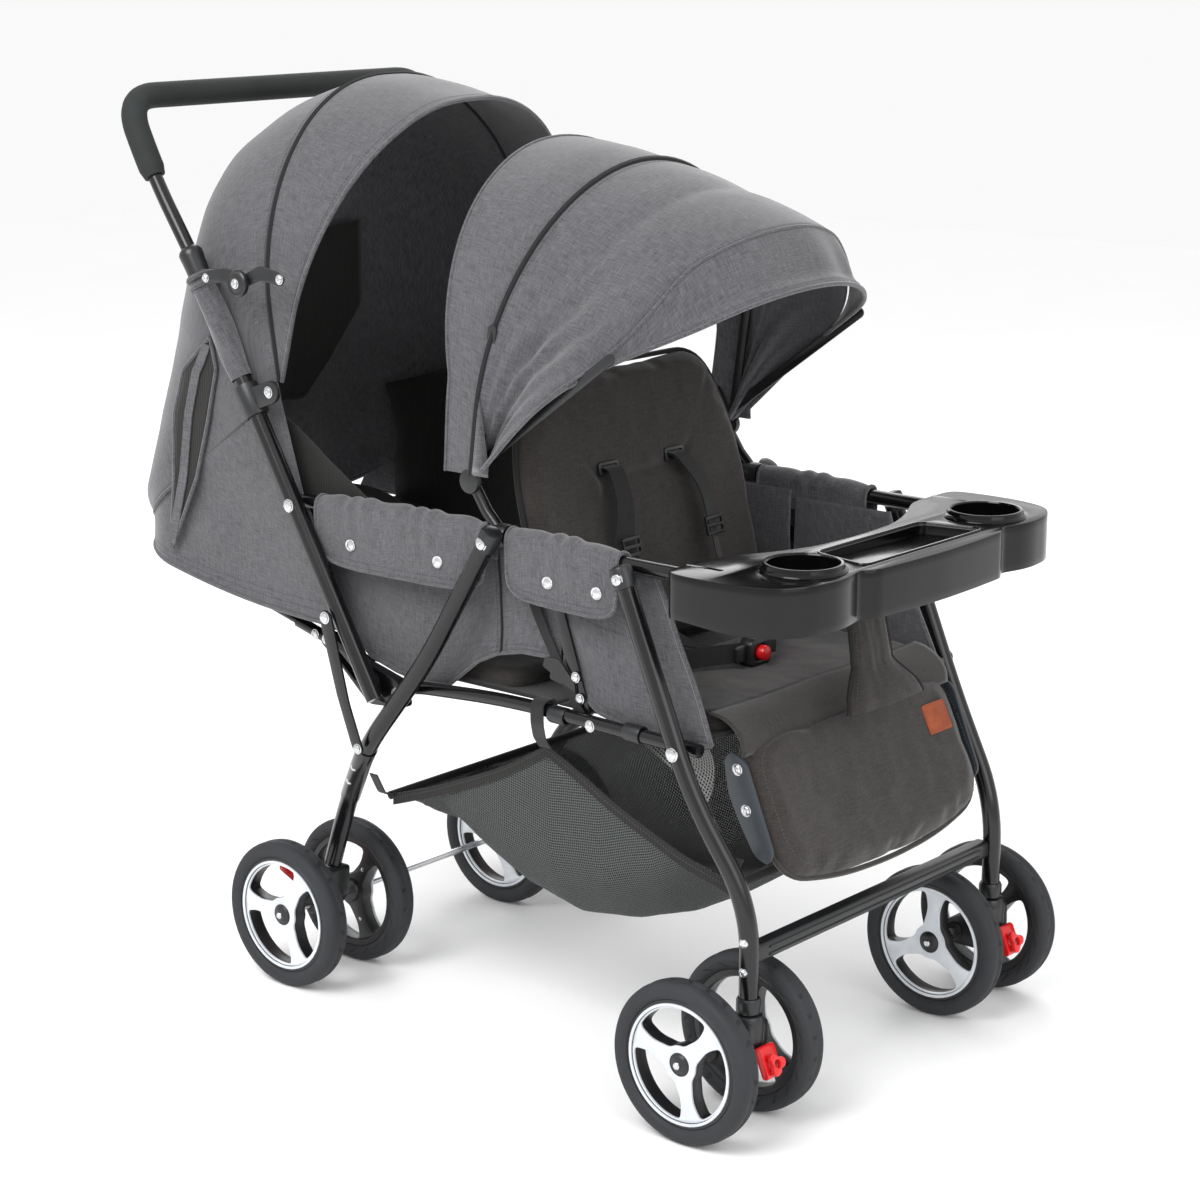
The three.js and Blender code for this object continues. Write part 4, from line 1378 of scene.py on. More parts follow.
@dataclass
class TubeFrame(Assembly):
    """Legs, rails, armrests, cross members and links, as bent tube with caps, collars and rivets."""

    tube: float = 0.0105
    rail: float = 0.0075
    arm: float = 0.0085

    def build(self) -> None:
        """Build both sides and what joins them."""
        for sign in (RIGHT, LEFT):
            self._front_leg(sign)
            self._rear_leg(sign)
            self._rail(sign)
            self._armrest(sign)
            self._crank(sign)
            self._struts(sign)
        self._brace()
        self._recline_hoop()

    def _front_leg(self, sign: int) -> None:
        """The front leg: straight from the armrest, then cranked to the caster's post."""
        side = SIDE_NAME[sign]
        x = sign * LEG_PLANE
        top, knee = PLACES.yz("armrest_fold"), PLACES.yz("front_leg_fold")
        post = PLACES.pivots[f"caster_swivel_{side}"]
        foot = PLACES.low(f"front_leg_{side}").z
        slope = (top[0] - knee[0]) / (top[1] - knee[1])
        path = rounded([
            (x, top[0] + slope * 0.010, top[1] + 0.010), (x, knee[0] - slope * 0.0415, knee[1] - 0.0415),
            (post.x, post.y, foot + 0.115), (post.x, post.y, foot),
        ], 0.05, 10)
        leg = Bench.tube(f"front_leg_tube_{side}", path, self.tube, 28)
        self.painted(leg, "front_legs", [f"front_leg_{side}"])
        self._end_cap(f"front_leg_cap_{side}", "front_legs", path[0], path[0] - path[1], self.tube)
        ferrule = Bench.turned(f"front_leg_ferrule_{side}", [
            (self.tube, 0.0), (self.tube + 0.0022, 0.0), (self.tube + 0.0026, 0.002),
            (self.tube + 0.0026, 0.013), (self.tube + 0.0012, 0.016), (self.tube, 0.016),
        ], (post.x, post.y, foot + 0.001), (0, 0, 1), 32)
        self.moulded(ferrule, "front_legs")
        out = x + sign * self.tube * 0.97
        self.rivet(f"rivet_armrest_front_{side}", "front_legs", (out, *top), sign, 0.0062)
        self.rivet(f"rivet_front_leg_{side}", "front_legs", (out, *knee), sign, 0.0062)
        for k, z in enumerate((foot + 0.046, foot + 0.078)):
            self.rivet(
                f"rivet_post_{side}_{k}", "front_legs", (post.x + sign * self.tube * 0.97, post.y, z),
                sign, 0.0042,
            )

    def _end_cap(self, name: str, body: str, place: Vector, way: Vector, radius: float) -> None:
        """A moulded plug over a tube's end."""
        cap = Bench.turned(name, [
            (radius + 0.0002, -0.022), (radius + 0.0016, -0.0215), (radius + 0.0018, -0.002),
            (radius + 0.001, 0.001), (radius * 0.6, 0.0032), (0.0, 0.0036),
        ], place, way, 28)
        self.moulded(cap, body)

    def _rear_leg(self, sign: int) -> None:
        """The rear leg: down from the armrest, cranked in to the hub, with a flattened top."""
        side = SIDE_NAME[sign]
        x = sign * LEG_PLANE
        top = PLACES.yz("rear_leg_fold")
        link = PLACES.low(f"crank_link_{side}")
        crank = (link.y + 0.010, link.z + 0.010)
        hub = PLACES.pivots[f"brake_{side}"]
        foot = PLACES.low(f"rear_leg_{side}").z + 0.003
        y = hub.y - 0.041
        path = rounded([
            (x, top[0] - 0.0078, top[1] + 0.012), (x, PLACES.yz("front_recline")[0] + 0.139, 0.438),
            (x, *crank), (hub.x, y - 0.027, foot + 0.078), (hub.x, y, foot),
        ], 0.045, 10)
        leg = Bench.tube(f"rear_leg_tube_{side}", path, self.tube, 28)
        self.painted(leg, "rear_legs", [f"rear_leg_{side}"])
        self._end_cap(f"rear_leg_cap_{side}", "rear_legs", path[0], path[0] - path[1], self.tube)
        out = x + sign * self.tube * 0.97
        self.rivet(f"rivet_rear_leg_top_{side}", "rear_legs", (out, *top), sign, 0.0062)
        line = Track(path)
        for k, z in enumerate((0.290, 0.265)):
            spot = next(p for p in line.even(200) if p.z < z)
            self.rivet(
                f"rivet_rear_leg_{side}_{k}", "rear_legs",
                spot + Vector((sign * self.tube * 0.95, 0, 0)), sign, 0.0045,
            )
        # The two lower halves overlap here in a sleeve that hugs the tube.
        stretch = [p for p in line.even(160) if 0.235 < p.z < 0.318]
        sleeve = Bench.tube(f"rear_leg_sleeve_{side}", stretch, self.tube + 0.0014, 24)
        self.painted(sleeve, "rear_legs")

    def _rail(self, sign: int) -> None:
        """The seat rail with its rear bracket, sleeve and rivets."""
        side = SIDE_NAME[sign]
        x = sign * ARMREST_PLANE
        front, rear = PLACES.yz("front_leg_fold"), PLACES.yz("handle_fold")
        path = rounded([
            (x, front[0] - 0.012, front[1] - 0.001), (x, -0.124, 0.407),
            (x, rear[0] - 0.040, rear[1] + 0.014), (x, rear[0] + 0.012, rear[1] - 0.004),
        ], 0.06, 10)
        tube = Bench.tube(f"rail_tube_{side}", path, self.rail, 24)
        self.painted(tube, "chassis", [f"rail_{side}"])
        y, z = rear
        shape = flat_outline([
            (y - 0.034, z - 0.012), (y + 0.024, z - 0.017), (y + 0.070, z + 0.022),
            (y + 0.102, z + 0.044), (y + 0.092, z + 0.058), (y + 0.040, z + 0.034),
            (y - 0.024, z + 0.018),
        ], 0.008, 5)
        slot = lozenge((y + 0.044, z + 0.012), (y + 0.072, z + 0.034), 0.0075)
        plate = Bench.plate(f"rail_bracket_{side}", [shape, slot], 0.0145, side_view(x), 0.0016)
        self.painted(plate, "chassis")
        out = x + sign * self.rail * 1.02
        for k, (py, pz) in enumerate(((-0.244, 0.402), (y - 0.02, z + 0.004), (y + 0.090, z + 0.048))):
            self.rivet(f"rivet_rail_{side}_{k}", "chassis", (out, py, pz), sign, 0.0052)
        for k, py in enumerate((-0.196, -0.300)):
            sleeve = Bench.turned(
                f"rail_sleeve_{side}_{k}", sleeve_profile(self.rail, 0.002, 0.0024, 0.011, 0.002),
                (x, py, 0.4035), (0, 1, 0.02), 24,
            )
            self.moulded(sleeve, "chassis")

    def _armrest(self, sign: int) -> None:
        """The armrest tube and the moulded joint where the canopy is hung."""
        side = SIDE_NAME[sign]
        x = sign * ARMREST_PLANE
        low, high = PLACES.low(f"armrest_tube_{side}"), PLACES.high(f"armrest_tube_{side}")
        mid = PLACES.yz("rear_leg_fold")
        z = low.z + self.arm
        path = rounded([
            (x, high.y, 0.586), (x, mid[0], mid[1] + 0.004), (x, PLACES.yz("armrest_fold")[0], z),
            (x, low.y, z),
        ], 0.03, 8)
        tube = Bench.tube(f"armrest_bar_{side}", path, self.arm, 24)
        self.painted(tube, "armrests", [f"armrest_tube_{side}"])
        joint = Bench.turned(
            f"armrest_joint_{side}", sleeve_profile(self.arm, 0.004, 0.005, 0.016, 0.003),
            (x, mid[0] + 0.004, mid[1] + 0.004), (0, 1, 0), 28,
        )
        self.moulded(joint, "armrests")
        # The bar that the canopy's bows stand on.
        pivot = PLACES.yz("front_canopy_fold")
        post = Bench.tube(f"canopy_post_{side}", [
            (x, mid[0] + 0.002, mid[1] + 0.010), (x, lerp(mid[0], pivot[0], 0.5), 0.612), (x, *pivot),
            (x, pivot[0] + 0.020, pivot[1] + 0.045),
        ], 0.0068, 20)
        self.painted(post, "armrests")

    def _crank(self, sign: int) -> None:
        """The flat crank link that ties the handle to the rear leg."""
        side = SIDE_NAME[sign]
        low, high = PLACES.low(f"crank_link_{side}"), PLACES.high(f"crank_link_{side}")
        x = (low.x + high.x) / 2
        top, bottom = (high.y - 0.010, high.z - 0.010), (low.y + 0.010, low.z + 0.010)
        waist = (lerp(top[0], bottom[0], 0.62) + 0.004, lerp(top[1], bottom[1], 0.62))
        outline = flat_outline([
            (top[0] - 0.009, top[1] + 0.006), (top[0] + 0.002, top[1] + 0.0098),
            (top[0] + 0.0095, top[1] + 0.002), (waist[0] + 0.009, waist[1] + 0.002),
            (bottom[0] + 0.0095, bottom[1] + 0.002), (bottom[0] + 0.003, bottom[1] - 0.0097),
            (bottom[0] - 0.009, bottom[1] - 0.003), (waist[0] - 0.0095, waist[1] - 0.004),
        ], 0.006, 6)
        link = Bench.plate(f"crank_plate_{side}", [outline], 0.003, side_view(x), 0.0008)
        body = f"crank_link_{side}"
        self.painted(link, body, [f"crank_link_{side}"])
        out = x + sign * 0.0015
        self.rivet(f"rivet_crank_top_{side}", body, (out, *top), sign, 0.0058)
        self.rivet(f"rivet_crank_bottom_{side}", body, (out, *bottom), sign, 0.0050)

    def _struts(self, sign: int) -> None:
        """The flat bar between the armrest pad and the rail, with its latch hook."""
        side = SIDE_NAME[sign]
        x = sign * (ARMREST_PLANE - 0.0110)
        bar = Bench.plate(f"side_strut_{side}", [
            lozenge((-0.181, 0.528), (-0.222, 0.408), 0.016)
        ], 0.0024, side_view(x), 0.0007)
        self.painted(bar, "chassis")
        hook = Bench.plate(f"latch_hook_{side}", [
            flat_outline([
                (-0.226, 0.404), (-0.214, 0.404), (-0.210, 0.440), (-0.188, 0.462), (-0.170, 0.462),
                (-0.166, 0.452), (-0.178, 0.447), (-0.176, 0.440), (-0.196, 0.436), (-0.206, 0.420),
            ], 0.003, 4)
        ], 0.003, side_view(x + sign * 0.0028), 0.0008)
        self.painted(hook, "chassis")
        for k, (y, z) in enumerate(((-0.212, 0.447), (-0.218, 0.424))):
            self.rivet(f"rivet_latch_{side}_{k}", "chassis", (x + sign * 0.0044, y, z), sign, 0.0048)

    def _brace(self) -> None:
        """The moulded cross brace between the posts, with a rib along it."""
        low, high = PLACES.low("front_brace"), PLACES.high("front_brace")
        half, mid = high.x, (low + high) / 2
        section = flat_outline([
            (low.y, low.z), (high.y, low.z), (high.y, high.z), (low.y, high.z),
        ], 0.005, 4)
        bar = Bench.plate("brace_bar", [section], half * 2, side_view(0.0), 0.0012)
        ribs = [
            Bench.tube("rib", [
                (-half + 0.02, low.y - 0.0004, z), (half - 0.02, low.y - 0.0004, z)
            ], 0.0012, 8)
            for z in (mid.z - 0.004, mid.z + 0.004)
        ]
        whole = Bench.join("brace_bar", [bar, *ribs])
        self.moulded(whole, "front_legs", ["front_brace"])

    def _recline_hoop(self) -> None:
        """The wire hoop under the rear backrest, with the brackets that hold it."""
        y0, z0 = PLACES.yz("rear_recline")
        angle = math.radians(REAR_LEAN)
        half = PLACES.high("rear_backrest").x + 0.010
        end = 0.350
        drop = 0.020

        def spot(x: float, along: float) -> tuple[float, float, float]:
            """A place on the hoop's plane."""
            return (x, y0 + along * math.cos(angle) + drop * math.sin(angle),
                    z0 + along * math.sin(angle) - drop * math.cos(angle))

        path = rounded([spot(-half, 0.0), spot(-half, end), spot(half, end), spot(half, 0.0)], 0.06, 10)
        hoop = Bench.tube("recline_hoop", path, 0.0045, 16)
        self.painted(hoop, "rear_backrest")
        for sign in (RIGHT, LEFT):
            side = SIDE_NAME[sign]
            sleeve = Bench.tube(f"recline_sleeve_{side}", [
                spot(sign * half, 0.0), spot(sign * half, 0.115)
            ], 0.0072, 18)
            self.painted(sleeve, "rear_backrest")
            for k, along in enumerate((0.018, 0.080)):
                place = Vector(spot(sign * half, along)) + Vector((sign * 0.0068, 0, 0))
                self.rivet(f"rivet_recline_{side}_{k}", "rear_backrest", place, sign, 0.0048)


@dataclass
class PushHandle(Assembly):
    """The straight lower tubes, their collars, the thinner U above and its foam grip."""

    tube: float = 0.0105
    upper: float = 0.0085
    foam: float = 0.0150

    def build(self) -> None:
        """Build the handle."""
        hinge = PLACES.yz("handle_fold")
        lower = PLACES.high("handle_lower_right")
        collar = (lower.y - 0.012, lower.z - 0.007)
        grip_low = PLACES.low("handle_grip")
        top = PLACES.high("handle_upper")
        start = (0.4023, 0.942)
        crown = (top.y - self.upper, top.z - self.upper)
        for sign in (RIGHT, LEFT):
            self._lower(sign, hinge, collar)
        x = LEG_PLANE
        route = [(-x, *collar), (-x, *start), (-x, *crown), (x, *crown), (x, *start), (x, *collar)]
        path = rounded(route, 0.062, 14)
        bar = Bench.tube("handle_bow", path, self.upper, 24)
        self.painted(bar, "handle", ["handle_upper"])
        line = Track(path)
        begin = next(d for d in np.linspace(0, line.length, 600) if line.at(d).z > grip_low.z + 0.004)
        stretch = [line.at(d) for d in np.linspace(begin, line.length - begin, 120)]
        ends = [min(1.0, 0.82 + 0.18 * smooth(min(k, 119 - k) / 2.0)) for k in range(120)]
        grip = Bench.tube("foam_grip", stretch, self.foam, 36, taper=ends)
        self.enter(grip, "handle", Slot.FOAM, self.finishes.foam, ["handle_grip"])

    def _lower(self, sign: int, hinge: Flat, collar: Flat) -> None:
        """One straight lower tube with its collar, rivets and canopy clamp."""
        side = SIDE_NAME[sign]
        x = sign * LEG_PLANE
        a, b = Vector((x, *hinge)), Vector((x, *collar))
        way = (b - a).normalized()
        tube = Bench.tube(f"handle_tube_{side}", [a - way * 0.004, b], self.tube, 28)
        self.painted(tube, "handle", [f"handle_lower_{side}"])
        r = self.tube
        ring_ = Bench.turned(f"handle_collar_{side}", [
            (r, -0.030), (r + 0.0018, -0.030), (r + 0.0026, -0.024), (r + 0.0030, -0.010),
            (r + 0.0036, -0.004), (r + 0.0036, 0.001), (r + 0.0022, 0.004), (self.upper + 0.001, 0.007),
            (self.upper, 0.007),
        ], b, way, 32)
        self.moulded(ring_, "handle")
        y, z = PLACES.yz("rear_canopy_fold")

        def on_tube(height: float) -> Vector:
            """The tube's middle at a height."""
            return a.lerp(b, (height - hinge[1]) / (collar[1] - hinge[1]))

        place = on_tube(0.586) + Vector((sign * r * 0.97, 0, 0))
        self.rivet(f"rivet_handle_{side}", "handle", place, sign, 0.0062)
        spot = on_tube(z - 0.010)
        band = Bench.turned(
            f"canopy_clamp_{side}", sleeve_profile(r, 0.003, 0.0038, 0.019, 0.003), spot, way, 32
        )
        self.moulded(band, "handle")
        ear = Bench.plate(
            f"clamp_ear_{side}", [lozenge((spot.y, spot.z), (y - 0.012, z + 0.004), 0.026)], 0.006,
            side_view(x + sign * 0.0042), 0.0014,
        )
        self.moulded(ear, "handle")
        self.rivet(
            f"rivet_clamp_{side}", "handle", (x + sign * 0.0072, y - 0.010, z + 0.004), sign, 0.0055
        )


# ------------------------------------------------------------------ cloth tools


@dataclass
class SoftAssembly(Assembly):
    """An assembly of cloth: sheets, pads, ribbons, piping and stitching."""

    def cloth(
        self, name: str, shape: Shape, faces: tuple[int, int], behind: Sequence[float], body: str,
        material: bpy.types.Material, slot: Slot = Slot.GREY, thickness: float = 0.0014,
        held: str = "stretched", rests_on: Sequence[str] = (), replaces: Sequence[str] = (),
    ) -> Obj:
        """Make, thicken and dress one sheet of cloth.

        Args:
            name: The piece's name.
            shape: The surface's formula.
            faces: Faces across and along.
            behind: A place on the sheet's hidden side.
            body: The body it rides on.
            material: Its material.
            slot: Its finish in the record.
            thickness: The cloth's thickness.
            held: How it is held; not used.
            rests_on: What holds it; not used.
            replaces: The solids it stands for.

        Returns:
            The sheet.
        """
        sheet = Bench.surface(name, shape, faces[0], faces[1], behind)
        uv = np.zeros(len(sheet.data.loops) * 2)
        sheet.data.uv_layers.active.data.foreach_get("uv", uv)
        spans = uv.reshape(-1, 2).max(axis=0) - uv.reshape(-1, 2).min(axis=0)
        area = sum(p.area for p in sheet.data.polygons)
        width, length = float(spans[0]) * 1.002, float(spans[1]) * 1.002
        length = max(length, area / width)
        Bench.thicken(sheet, thickness)
        self.enter(sheet, body, slot, material, replaces)
        return sheet

    @staticmethod
    def crush(piece: Obj, keep: float, height: float = 0.40) -> None:
        """Give a piece its own copy of its mesh."""
        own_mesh(piece)

    def edge(self, name: str, path: Sequence[Sequence[float]], body: str, radius: float = 0.0022,
             material: bpy.types.Material | None = None, slot: Slot = Slot.GREY, sides: int = 10) -> Obj:
        """A rolled edge or piping along a path."""
        cord = Bench.tube(name, path, radius, sides)
        return self.enter(cord, body, slot, material or self.finishes.piping)

    def seam(
        self, name: str, path: Sequence[Sequence[float]], body: str, lift: Sequence[float] = (0, 0, 0)
    ) -> Obj:
        """A run of stitches that shows on the cloth."""
        run = Bench.stitches(name, path, lift=lift)
        return self.enter(run, body, Slot.GREY, self.finishes.thread)

    def ribbon(
        self, name: str, path: Sequence[Sequence[float]], widths: Sequence[Sequence[float]], width: float,
        body: str, material: bpy.types.Material | None = None, thickness: float = 0.0016,
    ) -> Obj:
        """A flat strap along a path.

        Args:
            name: The piece's name.
            path: The middle line.
            widths: The strap's own sideways direction at each point.
            width: The strap's width.
            body: The body it rides on.
            material: Its material, webbing unless given.
            thickness: Its thickness.

        Returns:
            The strap.
        """
        points, faces = [], []
        for place, sideways in zip(path, widths):
            side = Vector(sideways).normalized() * width / 2
            for share in (-1.0, -0.5, 0.0, 0.5, 1.0):
                points.append(Vector(place) + side * share)
        for k in range(len(path) - 1):
            for c in range(4):
                a = 5 * k + c
                faces.append((a, a + 1, a + 6, a + 5))
        strap = Bench.mesh(name, points, faces)
        Bench.thicken(strap, thickness, 0.0)
        Bench.soften(strap, 50)
        return self.enter(strap, body, Slot.PLASTIC, material or self.finishes.webbing)

    def snap(self, name: str, body: str, place: Sequence[float], sign: int) -> Obj:
        """A press stud with a rolled rim."""
        stud = Bench.turned(name, [
            (0.0070, -0.0006), (0.0072, 0.0006), (0.0066, 0.0014), (0.0056, 0.0012), (0.0050, 0.0008),
            (0.0030, 0.0017), (0.0, 0.0020),
        ], place, (sign, 0, 0), 24, 40)
        return self.enter(stud, body, Slot.STEEL, self.finishes.steel)

    def pad(
        self, name: str, outline: Sequence[Flat], thickness: float, matrix: Matrix, body: str,
        material: bpy.types.Material, slot: Slot, replaces: Sequence[str] = (), swell: float = 0.007,
        fill: float = 0.6, seed: float = 0.0, tacks: Sequence[Flat] = (),
    ) -> Obj:
        """A stuffed pad, blown up by a cloth simulation from a slightly smaller blank.

        Args:
            name: The piece's name.
            outline: The pad's outline on its own plane.
            thickness: The blank's thickness.
            matrix: Takes that plane to its place.
            body: The body it rides on.
            material: Its material.
            slot: Its finish in the record.
            replaces: The solids it stands for.
            swell: How far a point may move.
            fill: How full it is; not used.
            seed: Shifts the small unevenness.
            tacks: Places on its plane where it is sewn through.

        Returns:
            The pad.
        """
        pad = Bench.plate(name, [outline], thickness, Matrix.Identity(4), thickness * 0.32)
        Bench.cook(
            pad, "REMESH", mode="VOXEL", voxel_size=0.0055,
            use_smooth_shade=True,
        )
        rest = np.zeros(len(pad.data.vertices) * 3)
        pad.data.vertices.foreach_get("co", rest)
        rest = rest.reshape(-1, 3)
        blown = self._blow(pad, tacks)
        move = (blown - rest) * np.array([0.15, 0.15, 1.0])
        far = np.linalg.norm(move, axis=1, keepdims=True)
        rest = rest + move * np.minimum(1.0, swell / np.maximum(far, 1e-9))
        for p in rest:
            lift = (
                0.0012 * ripple(p[0] * 26 + seed, p[1] * 26, seed)
                + 0.0006 * ripple(p[0] * 70, p[1] * 70 + seed, 4.0)
            )
            p[2] += lift * (1 if p[2] > 0 else 0.3)
        pad.data.vertices.foreach_set("co", rest.ravel())
        pad.data.update()
        Bench.cook(pad, "SUBSURF", levels=1, render_levels=1)
        Bench.settle(pad, matrix)
        for polygon in pad.data.polygons:
            polygon.use_smooth = True
        self.enter(pad, body, slot, material, replaces)
        return pad

    @staticmethod
    def _blow(pad: Obj, tacks: Sequence[Flat]) -> np.ndarray:
        """Run the cloth simulation on a blank and return its points."""
        Bench.only(pad)
        group = pad.vertex_groups.new(name="sewn")
        held = [v.index for v in pad.data.vertices
                if any((v.co.x - a) ** 2 + (v.co.y - b) ** 2 < 0.0055 ** 2 for a, b in tacks)]
        if held:
            group.add(held, 1.0, "REPLACE")
        modifier = pad.modifiers.new("cloth", "CLOTH")
        settings = modifier.settings
        settings.use_pressure = True
        settings.uniform_pressure_force = 4.0
        settings.effector_weights.gravity = 0.0
        settings.quality = 4
        if held:
            settings.vertex_group_mass = "sewn"
        modifier.collision_settings.use_collision = False
        modifier.point_cache.frame_start, modifier.point_cache.frame_end = 1, 20
        scene = bpy.context.scene
        for step in range(1, 21):
            scene.frame_set(step)
        shown = pad.evaluated_get(bpy.context.evaluated_depsgraph_get())
        points = np.zeros(len(shown.data.vertices) * 3)
        shown.data.vertices.foreach_get("co", points)
        pad.modifiers.remove(modifier)
        pad.vertex_groups.clear()
        scene.frame_set(1)
        return points.reshape(-1, 3)


def box_outline(half: float, low: float, high: float, bend: float) -> list[Flat]:
    """A rounded rectangle, centred across."""
    corners = [(-half, low), (half, low), (half, high), (-half, high)]
    return flat_outline(corners, bend, 8)


def sloping(place: Flat, angle: float) -> Matrix:
    """Takes a drawing in (across, along) to a plane that climbs from a side-view place.

    Args:
        place: Where along is 0, as (y, z).
        angle: The climb in degrees from +Y.

    Returns:
        The matrix; its third axis is the pad's upper face.
    """
    a = math.radians(angle)
    c, s = math.cos(a), math.sin(a)
    return Matrix(((1, 0, 0, 0), (0, c, -s, place[0]), (0, s, c, place[1]), (0, 0, 0, 1)))


# ------------------------------------------------------------------ canopies


@dataclass
class Bow:
    """A canopy's cross-section at one angle: up the side, then over an elliptical shoulder."""

    half: float
    shoulder: float
    rise: float
    start: float = 0.012

    def at(self, share: float, reach: float) -> Flat:
        """A place on the bow.

        Args:
            share: From -1 at the right foot, through 0 on the crown, to 1 at the left foot.
            reach: The crown's distance from the pivot.

        Returns:
            The place as (x, distance from the pivot).
        """
        rise = min(self.rise, (reach - self.start) * 0.9)
        turn = np.linspace(0, math.pi / 2, 25)
        x = np.concatenate([[self.half], self.half - self.shoulder + self.shoulder * np.cos(turn), [0.0]])
        r = np.concatenate([[self.start], reach - rise + rise * np.sin(turn), [reach]])
        marks = np.concatenate([[0.0], np.cumsum(np.hypot(np.diff(x), np.diff(r)))])
        along = (1 - abs(share)) * marks[-1]
        return math.copysign(float(np.interp(along, marks, x)), share), float(np.interp(along, marks, r))


@dataclass
class FrontCanopy(SoftAssembly):
    """The front canopy: a rear panel, a main panel, a turned-down brow, piping and a hem."""

    bow: Bow = field(default_factory=lambda: Bow(0.2345, 0.2345, 0.25))
    rear_angle: float = 79.0
    middle_angle: float = 100.0
    ridge_angle: float = 132.5
    hem_angle: float = 143.5

    def build(self) -> None:
        """Build the canopy."""
        self.pivot = PLACES.yz("front_canopy_fold")
        f = self.finishes
        behind = (0, self.pivot[0] - 0.05, self.pivot[1])
        self.cloth(
            "front_canopy_rear_panel", self._rear, (96, 22), behind, "armrests", f.grey,
            replaces=["front_canopy"],
        )
        main = self.cloth("front_canopy_main_panel", self._main, (120, 54), behind, "", f.grey)
        self._axis(self.middle_angle)
        self._axis(self.ridge_angle)
        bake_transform(main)
        self.cloth(
            "front_canopy_brow", self._brow, (120, 18), behind, "front_canopy_bow", f.grey,
            replaces=["front_canopy_bow"],
        )
        shares = [k / 60 - 1 for k in range(121)]
        piping = [
            self._spot(s, self.middle_angle, self._reach(self.middle_angle) + 0.0015) for s in shares
        ]
        self.edge("front_canopy_piping", piping, "armrests", 0.0034)
        ridge = [self._brow((s + 1) / 2, 0.0) for s in shares[18:103]]
        self.edge("front_canopy_ridge", ridge, "front_canopy_bow", 0.0019, f.grey_solid)
        hem = [self._brow((s + 1) / 2, 1.0) for s in shares[2:119]]
        self.edge("front_canopy_hem", hem, "front_canopy_bow", 0.0027, f.grey_solid)
        inner = [self._lift(self._brow((s + 1) / 2, 0.90), 0.0004) for s in shares[20:101]]
        self.seam("front_canopy_hem_stitch", inner, "front_canopy_bow")
        for tag, shift in (("a", -1.6), ("b", 1.6)):
            line = [
                self._spot(s, self.middle_angle + shift, self._reach(self.middle_angle) + 0.0008)
                for s in shares[1:120]
            ]
            self.seam(f"front_canopy_piping_stitch_{tag}", line, "armrests")
        back = [self._rear((s + 1) / 2, 0.0) for s in shares]
        self.edge("front_canopy_rear_binding", back, "armrests", 0.0022, f.grey_solid)
        for sign in (RIGHT, LEFT):
            self._stretcher(sign)

    def _reach(self, angle: float) -> float:
        """The crown's distance from the pivot at an angle."""
        return float(
            np.interp(angle, [72, 79, 90, 100, 116, 132, 144], [
                0.362, 0.361, 0.352, 0.340, 0.346, 0.375, 0.357
            ])
        )

    def _spot(self, share: float, angle: float, reach: float) -> tuple[float, float, float]:
        """A place on the bow at an angle; the bows' feet fan out a little."""
        x, r = self.bow.at(share, reach)
        a = math.radians(angle)
        foot = (
            (1 - min(r / 0.12, 1.0)) * 0.018 * math.cos(a)
            / math.cos(math.radians(79)) if angle < 100 else 0.0
        )
        tuck = 0.004 * (1 - smooth(r / 0.1))
        return (
            x - math.copysign(tuck, x), self.pivot[0] + r * math.cos(a) + foot * 2,
            self.pivot[1] + r * math.sin(a)
        )

    @staticmethod
    def _lift(place: Sequence[float], by: float) -> tuple[float, float, float]:
        """A place moved outwards from the canopy's middle."""
        way = (Vector(place) - Vector((0, -0.15, 0.70))).normalized() * by
        return tuple(Vector(place) + way)

    def _axis(self, angle: float) -> tuple[float, float, float]:
        """A place at an angle about the pivot."""
        a = math.radians(angle)
        return 0.0, self.pivot[0] + 0.2 * math.cos(a), self.pivot[1] + 0.2 * math.sin(a)

    def _rear(self, u: float, v: float) -> Sequence[float]:
        """The narrow rear panel, from its open rear edge to the piping."""
        s, angle = 2 * u - 1, lerp(self.rear_angle, self.middle_angle, v)
        slack = 0.0035 * math.sin(math.pi * v) + 0.0012 * ripple(u * 9, v * 3, 2.0)
        return self._spot(s, angle, self._reach(angle) - slack)

    def _hem_at(self, s: float) -> float:
        """The hem's angle: lower at the sides, where the cloth runs down to the foot."""
        return lerp(self.hem_angle, 136.0, smooth((abs(s) - 0.30) / 0.55))

    def _ridge_at(self, s: float) -> float:
        """The ridge's angle, which meets the hem half way down the side."""
        return lerp(self.ridge_angle, self._hem_at(s) - 0.5, smooth((abs(s) - 0.25) / 0.40))

    def _main(self, u: float, v: float) -> Sequence[float]:
        """The main panel, with the soft drags that run from the ridge to the foot."""
        s = 2 * u - 1
        angle = lerp(self.middle_angle, self._ridge_at(s), v)
        reach = self._reach(angle)
        low = smooth((abs(s) - 0.2) / 0.5)
        drag = math.sin(26 * v * (0.4 + abs(s)) + 9 * abs(s)) * 0.0024 * low * math.sin(math.pi * v)
        creases = (
            0.0038 * ripple(v * 5.2 + abs(s) * 3.4, abs(s) * 9 - v * 3.6, 1.0 + 3 * (s > 0))
            * (0.35 + low)
        )
        sag = 0.006 * math.sin(math.pi * v) * (0.4 + 0.6 * low)
        x, y, z = self._spot(s, angle, reach - sag * 0.6)
        out = drag + creases * math.sin(math.pi * min(v * 1.1, 1.0)) - sag * 0.4 * low
        way = (Vector((x, y, z)) - Vector((0, self.pivot[0] - 0.06, self.pivot[1] + 0.02))).normalized()
        place = Vector((x, y, z)) + way * out
        place.x -= math.copysign(0.012 * low * math.sin(math.pi * v) ** 2, x)
        return tuple(place)

